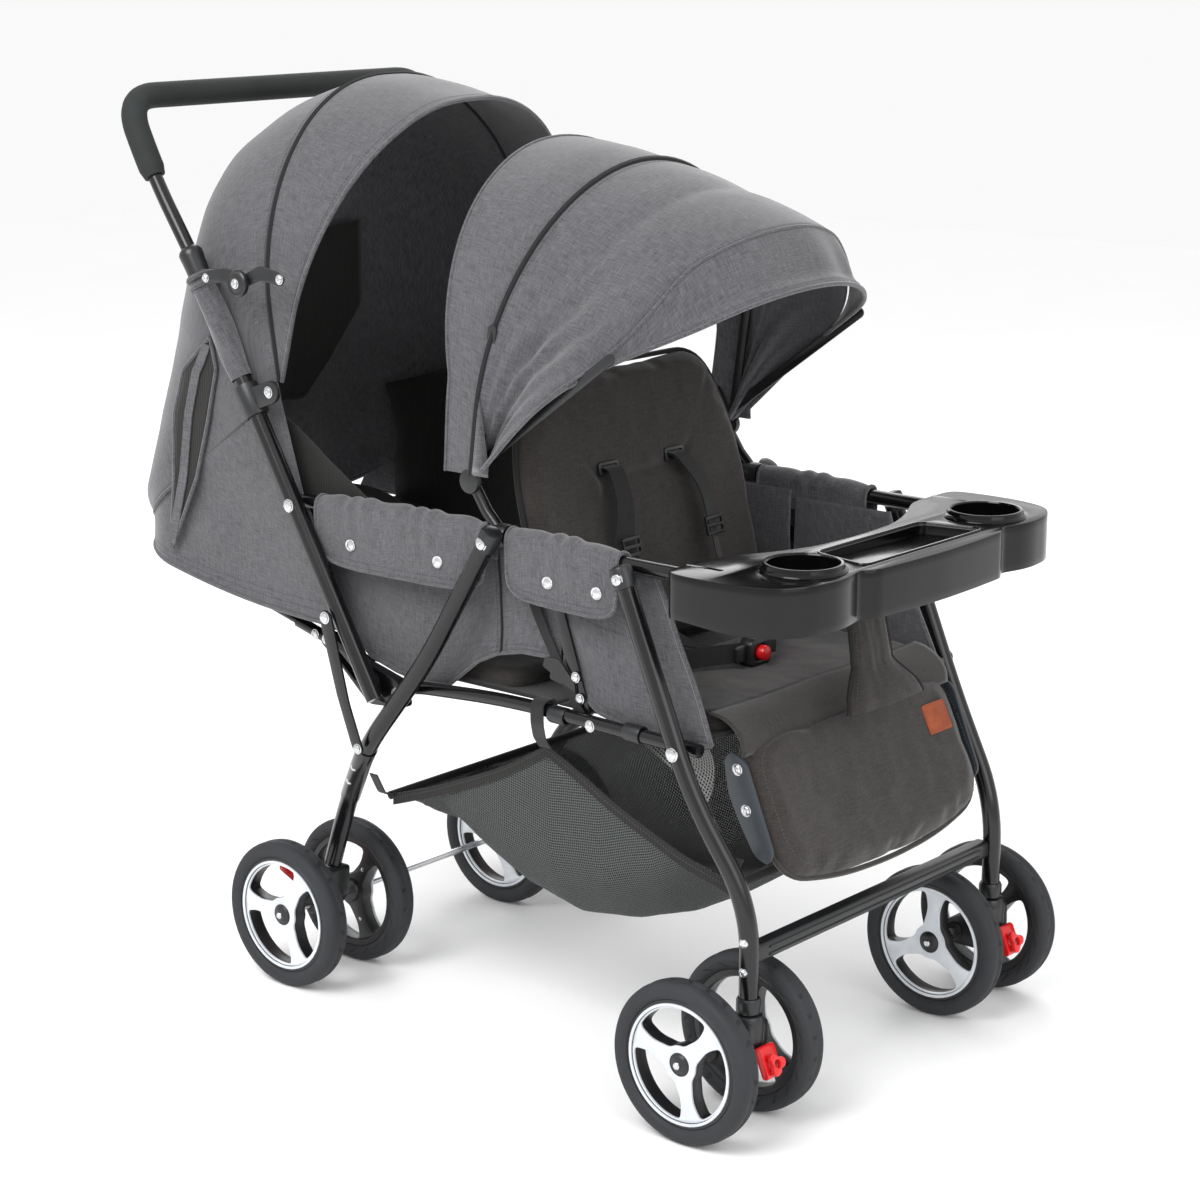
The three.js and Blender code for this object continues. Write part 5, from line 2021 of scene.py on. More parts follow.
    def _brow(self, u: float, v: float) -> Sequence[float]:
        """The turned-down brow, whose lower edge flares to a lip."""
        s = 2 * u - 1
        angle = lerp(self._ridge_at(s), self._hem_at(s), v)
        centre = 1 - smooth((abs(s) - 0.2) / 0.45)
        reach = self._reach(lerp(self.ridge_angle, self.hem_angle, v) if centre > 0 else angle)
        reach = lerp(self._reach(self.ridge_angle), reach, v) + 0.008 * centre * smooth((v - 0.72) / 0.28)
        tuck = (
            0.0022 * math.sin(math.pi * v) * math.sin(34 * s + 3 * ripple(s * 6, 1.0, 5.0))
            * (0.3 + centre)
        )
        return self._spot(s, angle, reach - 0.004 * math.sin(math.pi * v) + tuck)

    def _stretcher(self, sign: int) -> None:
        """The two black arms inside a side that hold the bow forward."""
        side = SIDE_NAME[sign]
        x = sign * (self.bow.half - 0.0105)
        y, z = self.pivot
        for tag, start, end in (
            ("upper", (y - 0.010, z + 0.030), (y - 0.030, z + 0.170)),
            ("lower", (y - 0.004, z + 0.020), (y - 0.190, z + 0.155)),
        ):
            arm = Bench.plate(
                f"front_stretcher_{tag}_{side}", [lozenge(start, end, 0.012)], 0.0024, side_view(x),
                0.0007,
            )
            body = "armrests" if tag == "upper" else "front_canopy_bow"
            self.moulded(arm, body)
            x -= sign * 0.003
        hub = Bench.turned(f"front_canopy_hub_{side}", [
            (0.0, -0.004), (0.013, -0.004), (0.014, 0.0), (0.013, 0.003), (0.009, 0.0042), (0.0, 0.0045),
        ], (sign * (self.bow.half - 0.006), y, z + 0.004), (sign, 0, 0), 28)
        self.moulded(hub, "armrests")


@dataclass
class RearCanopy(SoftAssembly):
    """The rear canopy and the hood below it: dome, back, sides, vent slits, piping and clamps."""

    bow: Bow = field(default_factory=lambda: Bow(0.2275, 0.215, 0.25))
    bow_angle: float = 84.0
    hem_angle: float = 107.5
    half_low: float = 0.2290

    def build(self) -> None:
        """Build the canopy and the hood."""
        self.pivot = PLACES.yz("rear_canopy_fold")
        self.up = PLACES.high("rear_canopy").z - self.pivot[1]
        f = self.finishes
        y, z = self.pivot
        corners = [
            (0.292, -0.214), (0.310, -0.184), (0.649 * self.up, 0.439 * self.up),
            (0.540 * self.up, 0.770 * self.up), (0.330 * self.up, 0.955 * self.up),
            (0.05 * self.up, 1.022 * self.up), (-0.05 * self.up, 1.02 * self.up),
        ]
        self.profile = [(p.x, p.y) for p in rounded(corners, 0.07, 8)]
        behind = (0, y + 0.08, z)
        self.cloth(
            "hood_dome", self._dome, (120, 84), behind, "handle", f.grey, replaces=["rear_hood"],
            held="stretched",
        )
        panel = self.cloth(
            "rear_canopy_panel", self._panel, (110, 26), behind, "", f.grey, replaces=["rear_canopy"]
        )
        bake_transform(panel)
        shares = [k / 60 - 1 for k in range(121)]
        self.edge("rear_canopy_piping", [self._panel((s + 1) / 2, 0.0) for s in shares], "handle", 0.0034)
        hem = [self._panel((s + 1) / 2, 1.0) for s in shares]
        band = self.edge("rear_canopy_hem", hem, "rear_canopy_bow", 0.0026, f.grey_solid)
        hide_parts("rear_canopy_bow")
        self.seam("rear_canopy_hem_stitch", [
            self._shift(self._panel((s + 1) / 2, 0.90)) for s in shares[1:120]
        ], "rear_canopy_bow")
        back = [self._shift(self._dome((s + 1) / 2, 0.018)) for s in shares[1:120]]
        self.seam("hood_piping_stitch", back, "handle")
        self._flap()
        for sign in (RIGHT, LEFT):
            self._side(sign)
            self._slit(sign)
            self._sleeve(sign)
            self._stretcher(sign)
            self._inside(sign)

    def _axis(self, angle: float) -> tuple[float, float, float]:
        """A place at an angle about the pivot."""
        a = math.radians(angle)
        return 0.0, self.pivot[0] + 0.3 * math.cos(a), self.pivot[1] + 0.3 * math.sin(a)

    def _shift(self, place: Sequence[float], by: float = 0.0006) -> tuple[float, float, float]:
        """A place moved outwards from the hood's middle."""
        way = (Vector(place) - Vector((0, self.pivot[0] + 0.08, self.pivot[1]))).normalized() * by
        return tuple(Vector(place) + way)

    def _outline(self, angle: float) -> float:
        """The hood's side-view distance from the pivot at an angle."""
        a = math.radians(angle)
        c, s = math.cos(a), math.sin(a)
        best = 0.0
        for (y0, z0), (y1, z1) in zip(self.profile, self.profile[1:]):
            d0, d1 = y0 * s - z0 * c, y1 * s - z1 * c
            if d0 * d1 <= 0 and d0 != d1:
                t = d0 / (d0 - d1)
                best = max(best, lerp(y0, y1, t) * c + lerp(z0, z1, t) * s)
        return best or math.hypot(*self.profile[0])

    def _section(self, angle: float) -> Bow:
        """The hood's cross-section at an angle: arched at the piping, squarer behind it."""
        low = smooth((self.bow_angle - angle) / 52)
        return Bow(
            lerp(self.bow.half, self.half_low, low), lerp(self.bow.shoulder, 0.13, low),
            lerp(self.bow.rise, 0.125, low),
        )

    def _wall(self, y: float, z: float) -> float:
        """How far out the hood's side is at a place in the side view."""
        dy, dz = y - self.pivot[0], z - self.pivot[1]
        angle = min(max(math.degrees(math.atan2(dz, dy)), -35.5), self.bow_angle)
        r = max(dy, 0.0) / math.cos(math.radians(35.5)) if angle == -35.5 else math.hypot(dy, dz)
        bow = self._section(angle)
        share = min(max((r - self._outline(angle) + bow.rise) / bow.rise, 0.0), 1.0)
        return bow.half - bow.shoulder * (1 - math.sqrt(1 - share * share))

    def _dome(self, u: float, v: float) -> Sequence[float]:
        """The dome, from the piping over the back and down to the lower rear corner."""
        s, angle = 2 * u - 1, lerp(self.bow_angle, -35.5, v)
        reach = self._outline(angle)
        x, r = self._section(angle).at(s, reach)
        a = math.radians(angle)
        fade = smooth(v / 0.08) * smooth((r - 0.05) / 0.1)
        pull = 0.0045 * ripple(x * 7, angle * 0.035, 8.0) + 0.002 * ripple(x * 22, angle * 0.08, 3.0)
        inward = 0.006 * math.sin(math.pi * smooth(v)) * (1 - abs(s)) ** 0.5
        place = Vector((x, self.pivot[0] + r * math.cos(a), self.pivot[1] + r * math.sin(a)))
        way = (place - Vector((0, self.pivot[0] + 0.05, self.pivot[1]))).normalized()
        place += way * (pull - inward) * fade
        return tuple(place)

    def _panel(self, u: float, v: float) -> Sequence[float]:
        """The front panel between the piping and the open hem."""
        s, angle = 2 * u - 1, lerp(self.bow_angle, self.hem_angle, v)
        reach = lerp(self._outline(self.bow_angle), 0.338, smooth(v)) - 0.004 * math.sin(math.pi * v)
        x, r = self.bow.at(s, reach + 0.0010 * ripple(s * 8, v * 3, 6.0))
        a = math.radians(angle)
        tuck = 0.0035 * smooth(1 - r / 0.12)
        return (
            x - math.copysign(tuck, x), self.pivot[0] + r * math.cos(a), self.pivot[1] + r * math.sin(a)
        )

    def _side(self, sign: int) -> None:
        """The flat side of the hood between the dome and its bottom hem."""
        side = SIDE_NAME[sign]
        y, z = self.pivot
        heights = [0.0, 0.42, 0.50, 1.0]

        def shape(u: float, v: float) -> Sequence[float]:
            """From the front edge to the rear, and from the bottom hem up to where the dome laps it."""
            front = (
                float(np.interp(v, heights, [0.122, 0.170, 0.186, y + 0.006])),
                lerp(z - 0.262, z + 0.020, v),
            )
            rear = (lerp(y + 0.276, y + 0.245, v), lerp(z - 0.212, z - 0.085, v))
            calm = math.sin(math.pi * u) * math.sin(math.pi * min(v * 1.35, 1.0)) if v < 0.74 else 0.0
            sag = 0.012 * math.sin(math.pi * u) * (1 - v)
            x = 0.0024 + 0.007 * calm + 0.004 * calm * ripple(u * 5 + v * 3, v * 3 - u * 2, 11.0 + sign)
            flat = lerp(front[0], rear[0], u), lerp(front[1], rear[1], u) - sag
            return sign * (self._wall(*flat) - x), *flat

        self.cloth(f"hood_side_{side}", shape, (46, 30), (0, y + 0.1, z), "handle", self.finishes.grey)
        hem = walk(shape, 40, 0.0)
        self.edge(f"hood_hem_{side}", hem, "handle", 0.0024, self.finishes.grey_solid)
        for tag, up in (("a", 0.05), ("b", 0.085)):
            line = [
                (sign * (abs(p[0]) + 0.0004), p[1], p[2])
                for p in (shape(k / 40, up) for k in range(41))
            ]
            self.seam(f"hood_hem_stitch_{side}_{tag}", line, "handle")
        back = [self._dome(0.5 + 0.5 * sign * 0.62 * (1 - k / 40), 1.0) for k in range(41)]
        self.edge(f"hood_back_hem_{side}", back, "handle", 0.0024, self.finishes.grey_solid)

    def _slit(self, sign: int) -> None:
        """The long vent at the rear corner: a dark lens, its bound edges and the webbing across it."""
        side = SIDE_NAME[sign]
        rear = [(0.331, 0.761), (0.382, 0.718), (0.399, 0.665), (0.402, 0.592), (0.412, 0.500)]
        front = [(0.331, 0.761), (0.322, 0.725), (0.340, 0.660), (0.362, 0.592), (0.410, 0.500)]
        heights = [p[1] for p in reversed(rear)]

        def at(z: float, share: float, lift: float) -> tuple[float, float, float]:
            """A place in the vent at a height, from its front edge to its rear one."""
            ahead = float(np.interp(z, [p[1] for p in reversed(front)], [p[0] for p in reversed(front)]))
            behind = float(np.interp(z, heights, [p[0] for p in reversed(rear)]))
            y = lerp(ahead, behind, share)
            return sign * (self._wall(y, z) + lift), y, z

        lens = Bench.surface(
            f"hood_vent_{side}", lambda u, v: at(lerp(0.5, 0.761, v), u, 0.0022), 8, 40, (0, 0.3, 0.6)
        )
        Bench.thicken(lens, 0.001)
        self.enter(lens, "handle", Slot.GREY, self.finishes.lining)
        for tag, share in (("rear", 1.0), ("front", 0.0)):
            path = [at(lerp(0.5, 0.761, k / 40), share, 0.0026) for k in range(41)]
            self.edge(f"hood_vent_edge_{tag}_{side}", path, "handle", 0.0024, self.finishes.grey_solid)
        path = [at(lerp(0.506, 0.752, k / 30), 0.55, 0.0042) for k in range(31)]
        self.ribbon(
            f"hood_vent_web_{side}", path, [(0, 1, 0.2)] * 31, 0.013, "handle", self.finishes.grey_solid
        )

    def _sleeve(self, sign: int) -> None:
        """The cloth sleeve round the handle tube, gathered by a strap at its top."""
        side = SIDE_NAME[sign]
        hinge, high = PLACES.yz("handle_fold"), PLACES.high("handle_lower_right")
        collar = (high.y - 0.012, high.z - 0.007)
        x = sign * LEG_PLANE

        def on_tube(z: float) -> Vector:
            """The tube's middle at a height."""
            return Vector((x, lerp(hinge[0], collar[0], (z - hinge[1]) / (collar[1] - hinge[1])), z))

        a, b = on_tube(0.722), on_tube(0.836)
        way = (b - a).normalized()
        side_way = Vector((1, 0, 0))
        other = way.cross(side_way)

        def shape(u: float, v: float) -> Sequence[float]:
            """Round the tube, and along it."""
            t = 2 * math.pi * u
            r = (
                0.0122 + 0.0026 * math.sin(math.pi * v) + 0.0012 * math.sin(3 * t + 7 * v)
                + 0.0008 * ripple(v * 9, u * 3, 2.0)
            )
            return tuple(a.lerp(b, v) + side_way * math.cos(t) * r + other * math.sin(t) * r)

        sleeve = Bench.weld(Bench.surface(f"tube_sleeve_{side}", shape, 36, 30, a))
        self.enter(sleeve, "handle", Slot.GREY, self.finishes.grey)
        for tag, z in (("top", 0.832), ("next", 0.823)):
            place = on_tube(z)
            loop = [tuple(place + side_way * math.cos(t) * 0.0148 + other * math.sin(t) * 0.0148)
                    for t in (2 * math.pi * k / 32 for k in range(32))]
            strap = Bench.tube(f"sleeve_strap_{tag}_{side}", loop, 0.0030, 10, closed=True)
            self.enter(strap, "handle", Slot.GREY, self.finishes.grey_solid)

    def _stretcher(self, sign: int) -> None:
        """The folding stay outside the canopy: two arms, a knob and three rivets."""
        side = SIDE_NAME[sign]
        rear, front = f"stretcher_rear_{side}", f"stretcher_front_{side}"
        a, b = PLACES.pivots[f"stretcher_rear_fold_{side}"], PLACES.pivots[f"stretcher_front_fold_{side}"]
        x = PLACES.middle(rear).x
        bend = ((a.y + b.y) / 2, a.z + 0.006)
        for name, body, start, end, hump, node, px in (
            (f"stay_rear_{side}", rear, (a.y, a.z), (b.y, b.z), bend, rear, x),
            (
                f"stay_front_{side}", front, (b.y, b.z), (0.176, 0.844), (0.208, 0.849), front,
                x + sign * 0.0046,
            ),
        ):
            upper = [
                (start[0] + 0.0075, start[1] + 0.001), (start[0] - 0.003, start[1] + 0.0085),
                (hump[0], hump[1] + 0.0082), (end[0] + 0.004, end[1] + 0.0082),
                (end[0] - 0.0075, end[1] + 0.001),
            ]
            lower = [
                (end[0] - 0.001, end[1] - 0.0080), (hump[0], hump[1] - 0.0084),
                (start[0] + 0.002, start[1] - 0.0082),
            ]
            shape = flat_outline([*upper, *lower], 0.006, 5)
            arm = Bench.plate(name, [shape], 0.0038, side_view(px), 0.0010)
            self.moulded(arm, body, [node])
        knob_x = x + sign * 0.0066
        knob = Bench.turned(f"stay_knob_{side}", [
            (0.0, 0.0), (0.0140, 0.0), (0.0150, 0.0012), (0.0150, 0.0058), (0.0134, 0.0072),
            (0.0116, 0.0066), (0.0096, 0.0066), (0.0072, 0.0080), (0.0, 0.0086),
        ], (knob_x, b.y, b.z), (sign, 0, 0), 36)
        self.moulded(knob, front)
        self.rivet(f"rivet_stay_knob_{side}", front, (knob_x + sign * 0.0084, b.y, b.z), sign, 0.0046)
        self.rivet(f"rivet_stay_front_{side}", front, (x + sign * 0.0066, 0.176, 0.844), sign, 0.0046)
        self.rivet(f"rivet_stay_rear_{side}", rear, (x + sign * 0.002, a.y, a.z), sign, 0.0042)

    def _flap(self) -> None:
        """The black pocket flap that hangs inside the hood's back."""
        def shape(u: float, v: float) -> Sequence[float]:
            """Across and up the flap."""
            x = lerp(-0.135, lerp(0.048, 0.112, min(v * 2.5, 1.0)), u)
            low = float(np.interp(u, [0, 0.45, 0.8, 1], [0.700, 0.650, 0.646, 0.690]))
            return x, 0.425 + 0.010 * math.sin(math.pi * u) * (1 - v), lerp(low, lerp(0.840, 0.862, u), v)

        self.cloth("hood_flap", shape, (26, 24), (0, 0.5, 0.75), "handle", self.finishes.lining)

    def _inside(self, sign: int) -> None:
        """The black inner wall of a side."""
        side = SIDE_NAME[sign]
        def lining(u: float, v: float) -> Sequence[float]:
            """The dark inner wall from the side hem up to the pocket."""
            y = lerp(0.030, 0.462, u)
            low = np.interp(y, [0.03, 0.13, 0.46], [0.440, 0.428, 0.486])
            high = np.interp(y, [0.03, 0.10, 0.18, 0.26, 0.46], [0.575, 0.592, 0.640, 0.700, 0.640])
            turn = min(v / 0.25, 1.0)
            z = lerp(low, high, max(v - 0.25, 0.0) / 0.75)
            out = min(0.2040 + 0.010 * smooth((y - 0.19) / 0.06), self._wall(y, z) - 0.013)
            return sign * lerp(min(0.150, out - 0.01), out, turn), y, z

        self.cloth(
            f"hood_lining_{side}", lining, (24, 20), (0, 0.3, 0.55), "handle", self.finishes.lining
        )


# ------------------------------------------------------------------ seats and what hangs on the frame


@dataclass
class Seats(SoftAssembly):
    """Seat pads, backrests, footmuff, side panels, armrest pads and the harness."""

    def build(self) -> None:
        """Build both seats."""
        self.half = PLACES.high("front_seat").x
        self._pads()
        self._footmuff()
        self._harness()
        for sign in (RIGHT, LEFT):
            self._rear_panel(sign)
            self._front_panel(sign)
            self._armrest_pad(sign, "rear", -0.098, 0.160, 0.066, (0.104, -0.030))
            self._armrest_pad(sign, "front", -0.284, -0.130, 0.062, (-0.190, -0.258))
            self._side_plate(sign)
            self._vent(sign)
            way = rounded([
                (sign * 0.2125, -0.130, 0.566), (sign * 0.2135, -0.160, 0.500),
                (sign * 0.2160, -0.212, 0.418), (sign * 0.2160, -0.222, 0.404),
            ], 0.02, 5)
            strap = self.ribbon(
                f"side_strap_{SIDE_NAME[sign]}", way, [(0, 1, 0.4)] * len(way), 0.020, "chassis"
            )
            self.crush(strap, 0.3)

    def _pads(self) -> None:
        """The two seat pads and the two backrests."""
        f = self.finishes
        seat_top = 0.4275
        for tag in ("front", "rear"):
            node = f"{tag}_seat"
            low, high = PLACES.low(node), PLACES.high(node)
            middle = (low.y + high.y) / 2
            outline = box_outline(
                self.half - 0.012, low.y + 0.008 - middle, high.y - 0.006 - middle, 0.03
            )
            pad = self.pad(
                f"{tag}_seat_pad", outline, 0.017, sloping((middle, seat_top - 0.0115), 0), "chassis",
                f.dark_solid, Slot.DARK, [node], 0.006,
            )
            self.crush(pad, 0.6, 0.404)
            sling = self._sling(min(low.y, -0.120) if tag == "front" else -0.180, high.y)
            base = self.cloth(
                f"{tag}_seat_sling", sling, (40, 30), (0, middle, 0.3), "chassis", f.lining, Slot.DARK
            )
            self.crush(base, 0.6, 0.404)
        pivot = PLACES.yz("front_recline")
        half = PLACES.high("front_backrest").x
        top = 0.322
        outline = flat_outline([
            (-half + 0.006, 0.012), (half - 0.006, 0.012), (half - 0.008, top - 0.09),
            (half - 0.045, top), (-half + 0.045, top), (-half + 0.008, top - 0.09),
        ], 0.05, 8)
        tacks = [(sx * 0.058, 0.190) for sx in (-1, 1)]
        place = sloping((pivot[0] + 0.002, pivot[1] + 0.004), FRONT_LEAN)
        self.pad("front_back_pad", outline, 0.018, place, "front_backrest", f.dark_solid, Slot.DARK,
                 ["front_backrest"], 0.008, tacks=tacks, seed=2.0)
        self._piped("front_back_piping", outline, place, "front_backrest", f.piping)
        pivot = PLACES.yz("rear_recline")
        half = PLACES.high("rear_backrest").x
        outline = box_outline(half - 0.005, 0.010, 0.352, 0.05)
        place = sloping((pivot[0] + 0.004, pivot[1] + 0.004), REAR_LEAN)
        self.pad("rear_back_pad", outline, 0.018, place, "rear_backrest", f.dark_solid, Slot.DARK,
                 ["rear_backrest"], 0.007, seed=5.0)
        self._piped("rear_back_piping", outline, place, "rear_backrest", f.piping)

    def _sling(self, front: float, rear: float) -> Shape:
        """The cloth under a pad, from side to side."""
        def shape(u: float, v: float) -> Sequence[float]:
            """Across and along."""
            return (
                (2 * u - 1) * (self.half - 0.0015), lerp(front, rear, v),
                0.4105 - 0.003 * math.sin(math.pi * u)
            )

        return shape

    def _piped(
        self, name: str, outline: Sequence[Flat], place: Matrix, body: str, material: bpy.types.Material
    ) -> Obj:
        """Piping round a pad's middle."""
        centre = Vector(
            (sum(p[0] for p in outline) / len(outline), sum(p[1] for p in outline) / len(outline))
        )
        loop = []
        for a, b in outline:
            way = (Vector((a, b)) - centre).normalized() * 0.0006
            loop.append(place @ Vector((a + way.x, b + way.y, 0.0)))
        cord = Bench.tube(name, loop, 0.0030, 10, closed=True)
        return self.enter(cord, body, Slot.DARK, material)

    def _footmuff(self) -> None:
        """The padded leg rest with its piping, stitching, blank leather badge and cloth lip."""
        f = self.finishes
        pivot = PLACES.yz("leg_rest_tilt")
        half = PLACES.high("leg_rest").x - 0.001
        length = 0.158
        outline = flat_outline([
            (-half, -0.012), (half, -0.012), (half + 0.002, length - 0.02), (half * 0.5, length),
            (0.0, length + 0.004), (-half * 0.5, length), (-half - 0.002, length - 0.02),
        ], 0.045, 8)
        # The pad hangs from its hinge, so along runs downwards and the upper face looks forward.
        place = sloping((pivot[0] - 0.010, pivot[1] - 0.002), -115.3) @ Matrix.Rotation(math.pi, 4, "Y")
        self.pad(
            "footmuff", outline, 0.022, place, "leg_rest", f.dark_solid, Slot.DARK, ["leg_rest"], 0.008,
            seed=8.0,
        )
        self._piped("footmuff_piping", outline, place, "leg_rest", f.dark_solid)
        inner = [place @ Vector((a * 0.945, 0.077 + (b - 0.077) * 0.87, 0.0172)) for a, b in outline]
        inner.append(inner[0])
        self.seam("footmuff_stitch", inner, "leg_rest")
        badge = Bench.plate("blank_badge", [box_outline(0.0215, -0.017, 0.017, 0.003)], 0.0018,
                            place @ Matrix.Translation((-0.136, 0.038, 0.0195)), 0.0005)
        self.enter(badge, "leg_rest", Slot.DARK, f.leather)
        rim = [place @ Matrix.Translation((-0.136, 0.038, 0.0208)) @ Vector((a, b, 0.0))
               for a, b in box_outline(0.0192, -0.0147, 0.0147, 0.002)]
        rim.append(rim[0])
        run = Bench.stitches("badge_stitch", rim, 0.003, 0.002, 0.0003)
        self.enter(run, "leg_rest", Slot.DARK, f.leather)

        def apron(u: float, v: float) -> Sequence[float]:
            """The cloth that runs from the seat pad over the front edge."""
            x = (2 * u - 1) * (half + 0.004)
            a = math.radians(96 * v)
            y, z = -0.372 - 0.046 * math.sin(a), 0.396 + 0.036 * math.cos(a)
            return x, y, z + 0.0015 * ripple(x * 18, v * 2, 3.0)

        lip = self.cloth(
            "seat_front_lip", apron, (60, 10), (0, -0.39, 0.30), "chassis", f.dark, Slot.DARK
        )
        self.crush(lip, 0.7, 0.404)

    def _rear_panel(self, sign: int) -> None:
        """The rear seat's cloth side, with its arched cut-out, seam and bound bottom."""
        side = SIDE_NAME[sign]

        def bottom(y: float) -> float:
            """The lower edge: along the rail, then the arch."""
            return float(
                np.interp(y, [
                    -0.185, -0.130, -0.095, -0.065, -0.040, -0.020, 0.02, 0.06, 0.100, 0.165
                ], [0.462, 0.460, 0.452, 0.438, 0.418, 0.402, 0.399, 0.405, 0.416, 0.470])
            )

        def shape(u: float, v: float) -> Sequence[float]:
            """Along the side and up it."""
            y = lerp(-0.185, 0.168, u)
            calm = math.sin(math.pi * v) ** 0.7
            x = self.half + 0.0006 - calm * (0.004 + 0.004 * ripple(y * 16, v * 2.4, 21.0 + sign))
            return sign * x, y + 0.004 * v, lerp(bottom(y), 0.580, v)

        panel = self.cloth(
            f"rear_side_panel_{side}", shape, (90, 26), (0, 0.0, 0.5), "chassis", self.finishes.grey
        )
        edge = self.edge(f"rear_side_binding_{side}", walk(shape, 90, 0.0), "chassis", 0.0024,
                         self.finishes.grey_solid)
        runs = [panel, edge]
        line = walk(shape, 90, 0.07, sign * 0.0005)
        runs.append(self.seam(f"rear_side_stitch_{side}", line, "chassis"))
        share = (-0.100 + 0.185) / 0.353
        upright = [Vector(shape(share, k / 20)) + Vector((sign * 0.0012, 0, 0)) for k in range(21)]
        runs.append(self.edge(f"rear_side_seam_{side}", upright, "chassis", 0.0014, self.finishes.piping))
        line = [p + Vector((0, 0.006, 0)) for p in upright]
        runs.append(self.seam(f"rear_side_seam_stitch_{side}", line, "chassis"))
        for piece in runs:
            self.crush(piece, 0.3)

    def _front_panel(self, sign: int) -> None:
        """The front seat's cloth side with its stitched line and bound bottom."""
        side = SIDE_NAME[sign]

        def bottom(y: float) -> float:
            """The lower edge, just above the rail."""
            return float(
                np.interp(y, [
                    -0.392, -0.357, -0.291, -0.240, -0.188
                ], [0.404, 0.400, 0.401, 0.412, 0.446])
            )

        def shape(u: float, v: float) -> Sequence[float]:
            """Along the side and up it; the front edge leans back with the leg."""
            y = lerp(lerp(-0.392, -0.318, v), -0.188, u)
            calm = math.sin(math.pi * v) ** 0.7
            x = self.half + 0.0006 - calm * (0.003 + 0.004 * ripple(y * 18, v * 2.4, 31.0 + sign))
            return sign * x, y, lerp(bottom(y), 0.572, v)

        runs = [self.cloth(f"front_side_panel_{side}", shape, (56, 26), (0, -0.28, 0.5), "chassis",
                           self.finishes.grey)]
        runs.append(self.edge(f"front_side_binding_{side}", walk(shape, 50, 0.0), "chassis", 0.0024,
                              self.finishes.grey_solid))
        line = walk(shape, 50, 0.58, sign * 0.0005)
        runs.append(self.seam(f"front_side_stitch_{side}", line, "chassis"))
        line = walk(shape, 50, 0.06, sign * 0.0005)
        runs.append(self.seam(f"front_side_hem_stitch_{side}", line, "chassis"))
        front = [shape(0.0, k / 20) for k in range(21)]
        runs.append(
            self.edge(f"front_side_edge_{side}", front, "chassis", 0.0030, self.finishes.grey_solid)
        )
        for piece in runs:
            self.crush(piece, 0.3)

    def _armrest_pad(
        self, sign: int, tag: str, front: float, rear: float, drop: float, studs: Flat
    ) -> None:
        """The padded flap folded over an armrest tube and closed with two press studs."""
        side = SIDE_NAME[sign]
        centre, r = 0.223, 0.0122

        def shape(u: float, v: float) -> Sequence[float]:
            """Along the tube, and round it from the inside to the flap's lower edge."""
            y = lerp(front, rear, u)
            z = float(np.interp(y, [-0.302, -0.113, 0.183], [0.5835, 0.589, 0.586]))
            ends = (1 - abs(2 * u - 1) ** 5) ** (1 / 2.4)
            fall = drop * (0.55 + 0.45 * ends)
            inside = 0.030
            arc = math.pi * r
            along = v * (inside + arc + fall)
            puff = 0.0030 * math.sin(math.pi * u) + 0.0011 * math.sin(y * 190 + 2 * math.sin(y * 61))
            puff += 0.0014 * ripple(y * 34, v * 5, 41.0)
            if along < inside:
                x, up = centre - r, z - (inside - along)
                x -= 0.5 * puff * along / inside
            elif along < inside + arc:
                t = math.pi - (along - inside) / r
                x, up = centre + (r + puff) * math.cos(t), z + (r + puff) * math.sin(t)
            else:
                down = along - inside - arc
                x, up = (
                    centre + r + puff * (1 - down / fall) * 0.6 - 0.0015 * smooth(down / fall), z - down
                )
            return sign * min(x, 0.2372), y, up

        self.cloth(
            f"{tag}_armrest_pad_{side}", shape, (64, 46), (sign * centre, (front + rear) / 2, 0.57),
            "armrests", self.finishes.grey, thickness=0.003, held="folded",
            rests_on=[f"armrest_bar_{side}"],
        )
        lower = walk(shape, 60, 1.0)
        self.edge(f"{tag}_armrest_binding_{side}", lower, "armrests", 0.0022, self.finishes.grey_solid)
        for k, share in enumerate((0.0, 1.0)):
            ring_ = [shape(share, j / 40) for j in range(8, 41)]
            self.edge(
                f"{tag}_armrest_end_{side}_{k}", ring_, "armrests", 0.0022, self.finishes.grey_solid
            )
        line = [Vector(shape(k / 60, 0.93)) + Vector((sign * 0.0004, 0, 0)) for k in range(2, 59)]
        self.seam(f"{tag}_armrest_stitch_{side}", line, "armrests")
        for k, y in enumerate(studs):
            share = (y - front) / (rear - front)
            place = Vector(shape(share, 0.80)) + Vector((sign * 0.0006, 0, 0))
            self.snap(f"{tag}_armrest_snap_{side}_{k}", "armrests", place, sign)

    def _side_plate(self, sign: int) -> None:
        """The slate plastic cheek beside the footmuff, with its two rivets."""
        side = SIDE_NAME[sign]
        x = sign * (PLACES.high("leg_rest").x + 0.0055)
        shape = flat_outline([
            (-0.404, 0.398), (-0.424, 0.390), (-0.442, 0.346), (-0.462, 0.298), (-0.455, 0.284),
            (-0.438, 0.290), (-0.420, 0.318), (-0.402, 0.352), (-0.396, 0.388),
        ], 0.010, 6)
        plate = Bench.plate(f"footrest_cheek_{side}", [shape], 0.0044, side_view(x), 0.0014)
        self.enter(plate, "leg_rest", Slot.PLASTIC, self.finishes.slate)
        for k, (y, z) in enumerate(((-0.414, 0.380), (-0.426, 0.338))):
            self.rivet(f"rivet_cheek_{side}_{k}", "leg_rest", (x + sign * 0.0022, y, z), sign, 0.0052)

    def _vent(self, sign: int) -> None:
        """The pale net gusset under the front of the seat."""
        side = SIDE_NAME[sign]

        def shape(u: float, v: float) -> Sequence[float]:
            """Along the gusset and up it."""
            y = lerp(-0.290, -0.380, u)
            low = np.interp(u, [0, 0.5, 1.0], [0.388, 0.362, 0.338])
            return sign * (0.1990 - 0.010 * math.sin(math.pi * v)), y, lerp(low, 0.396, v)

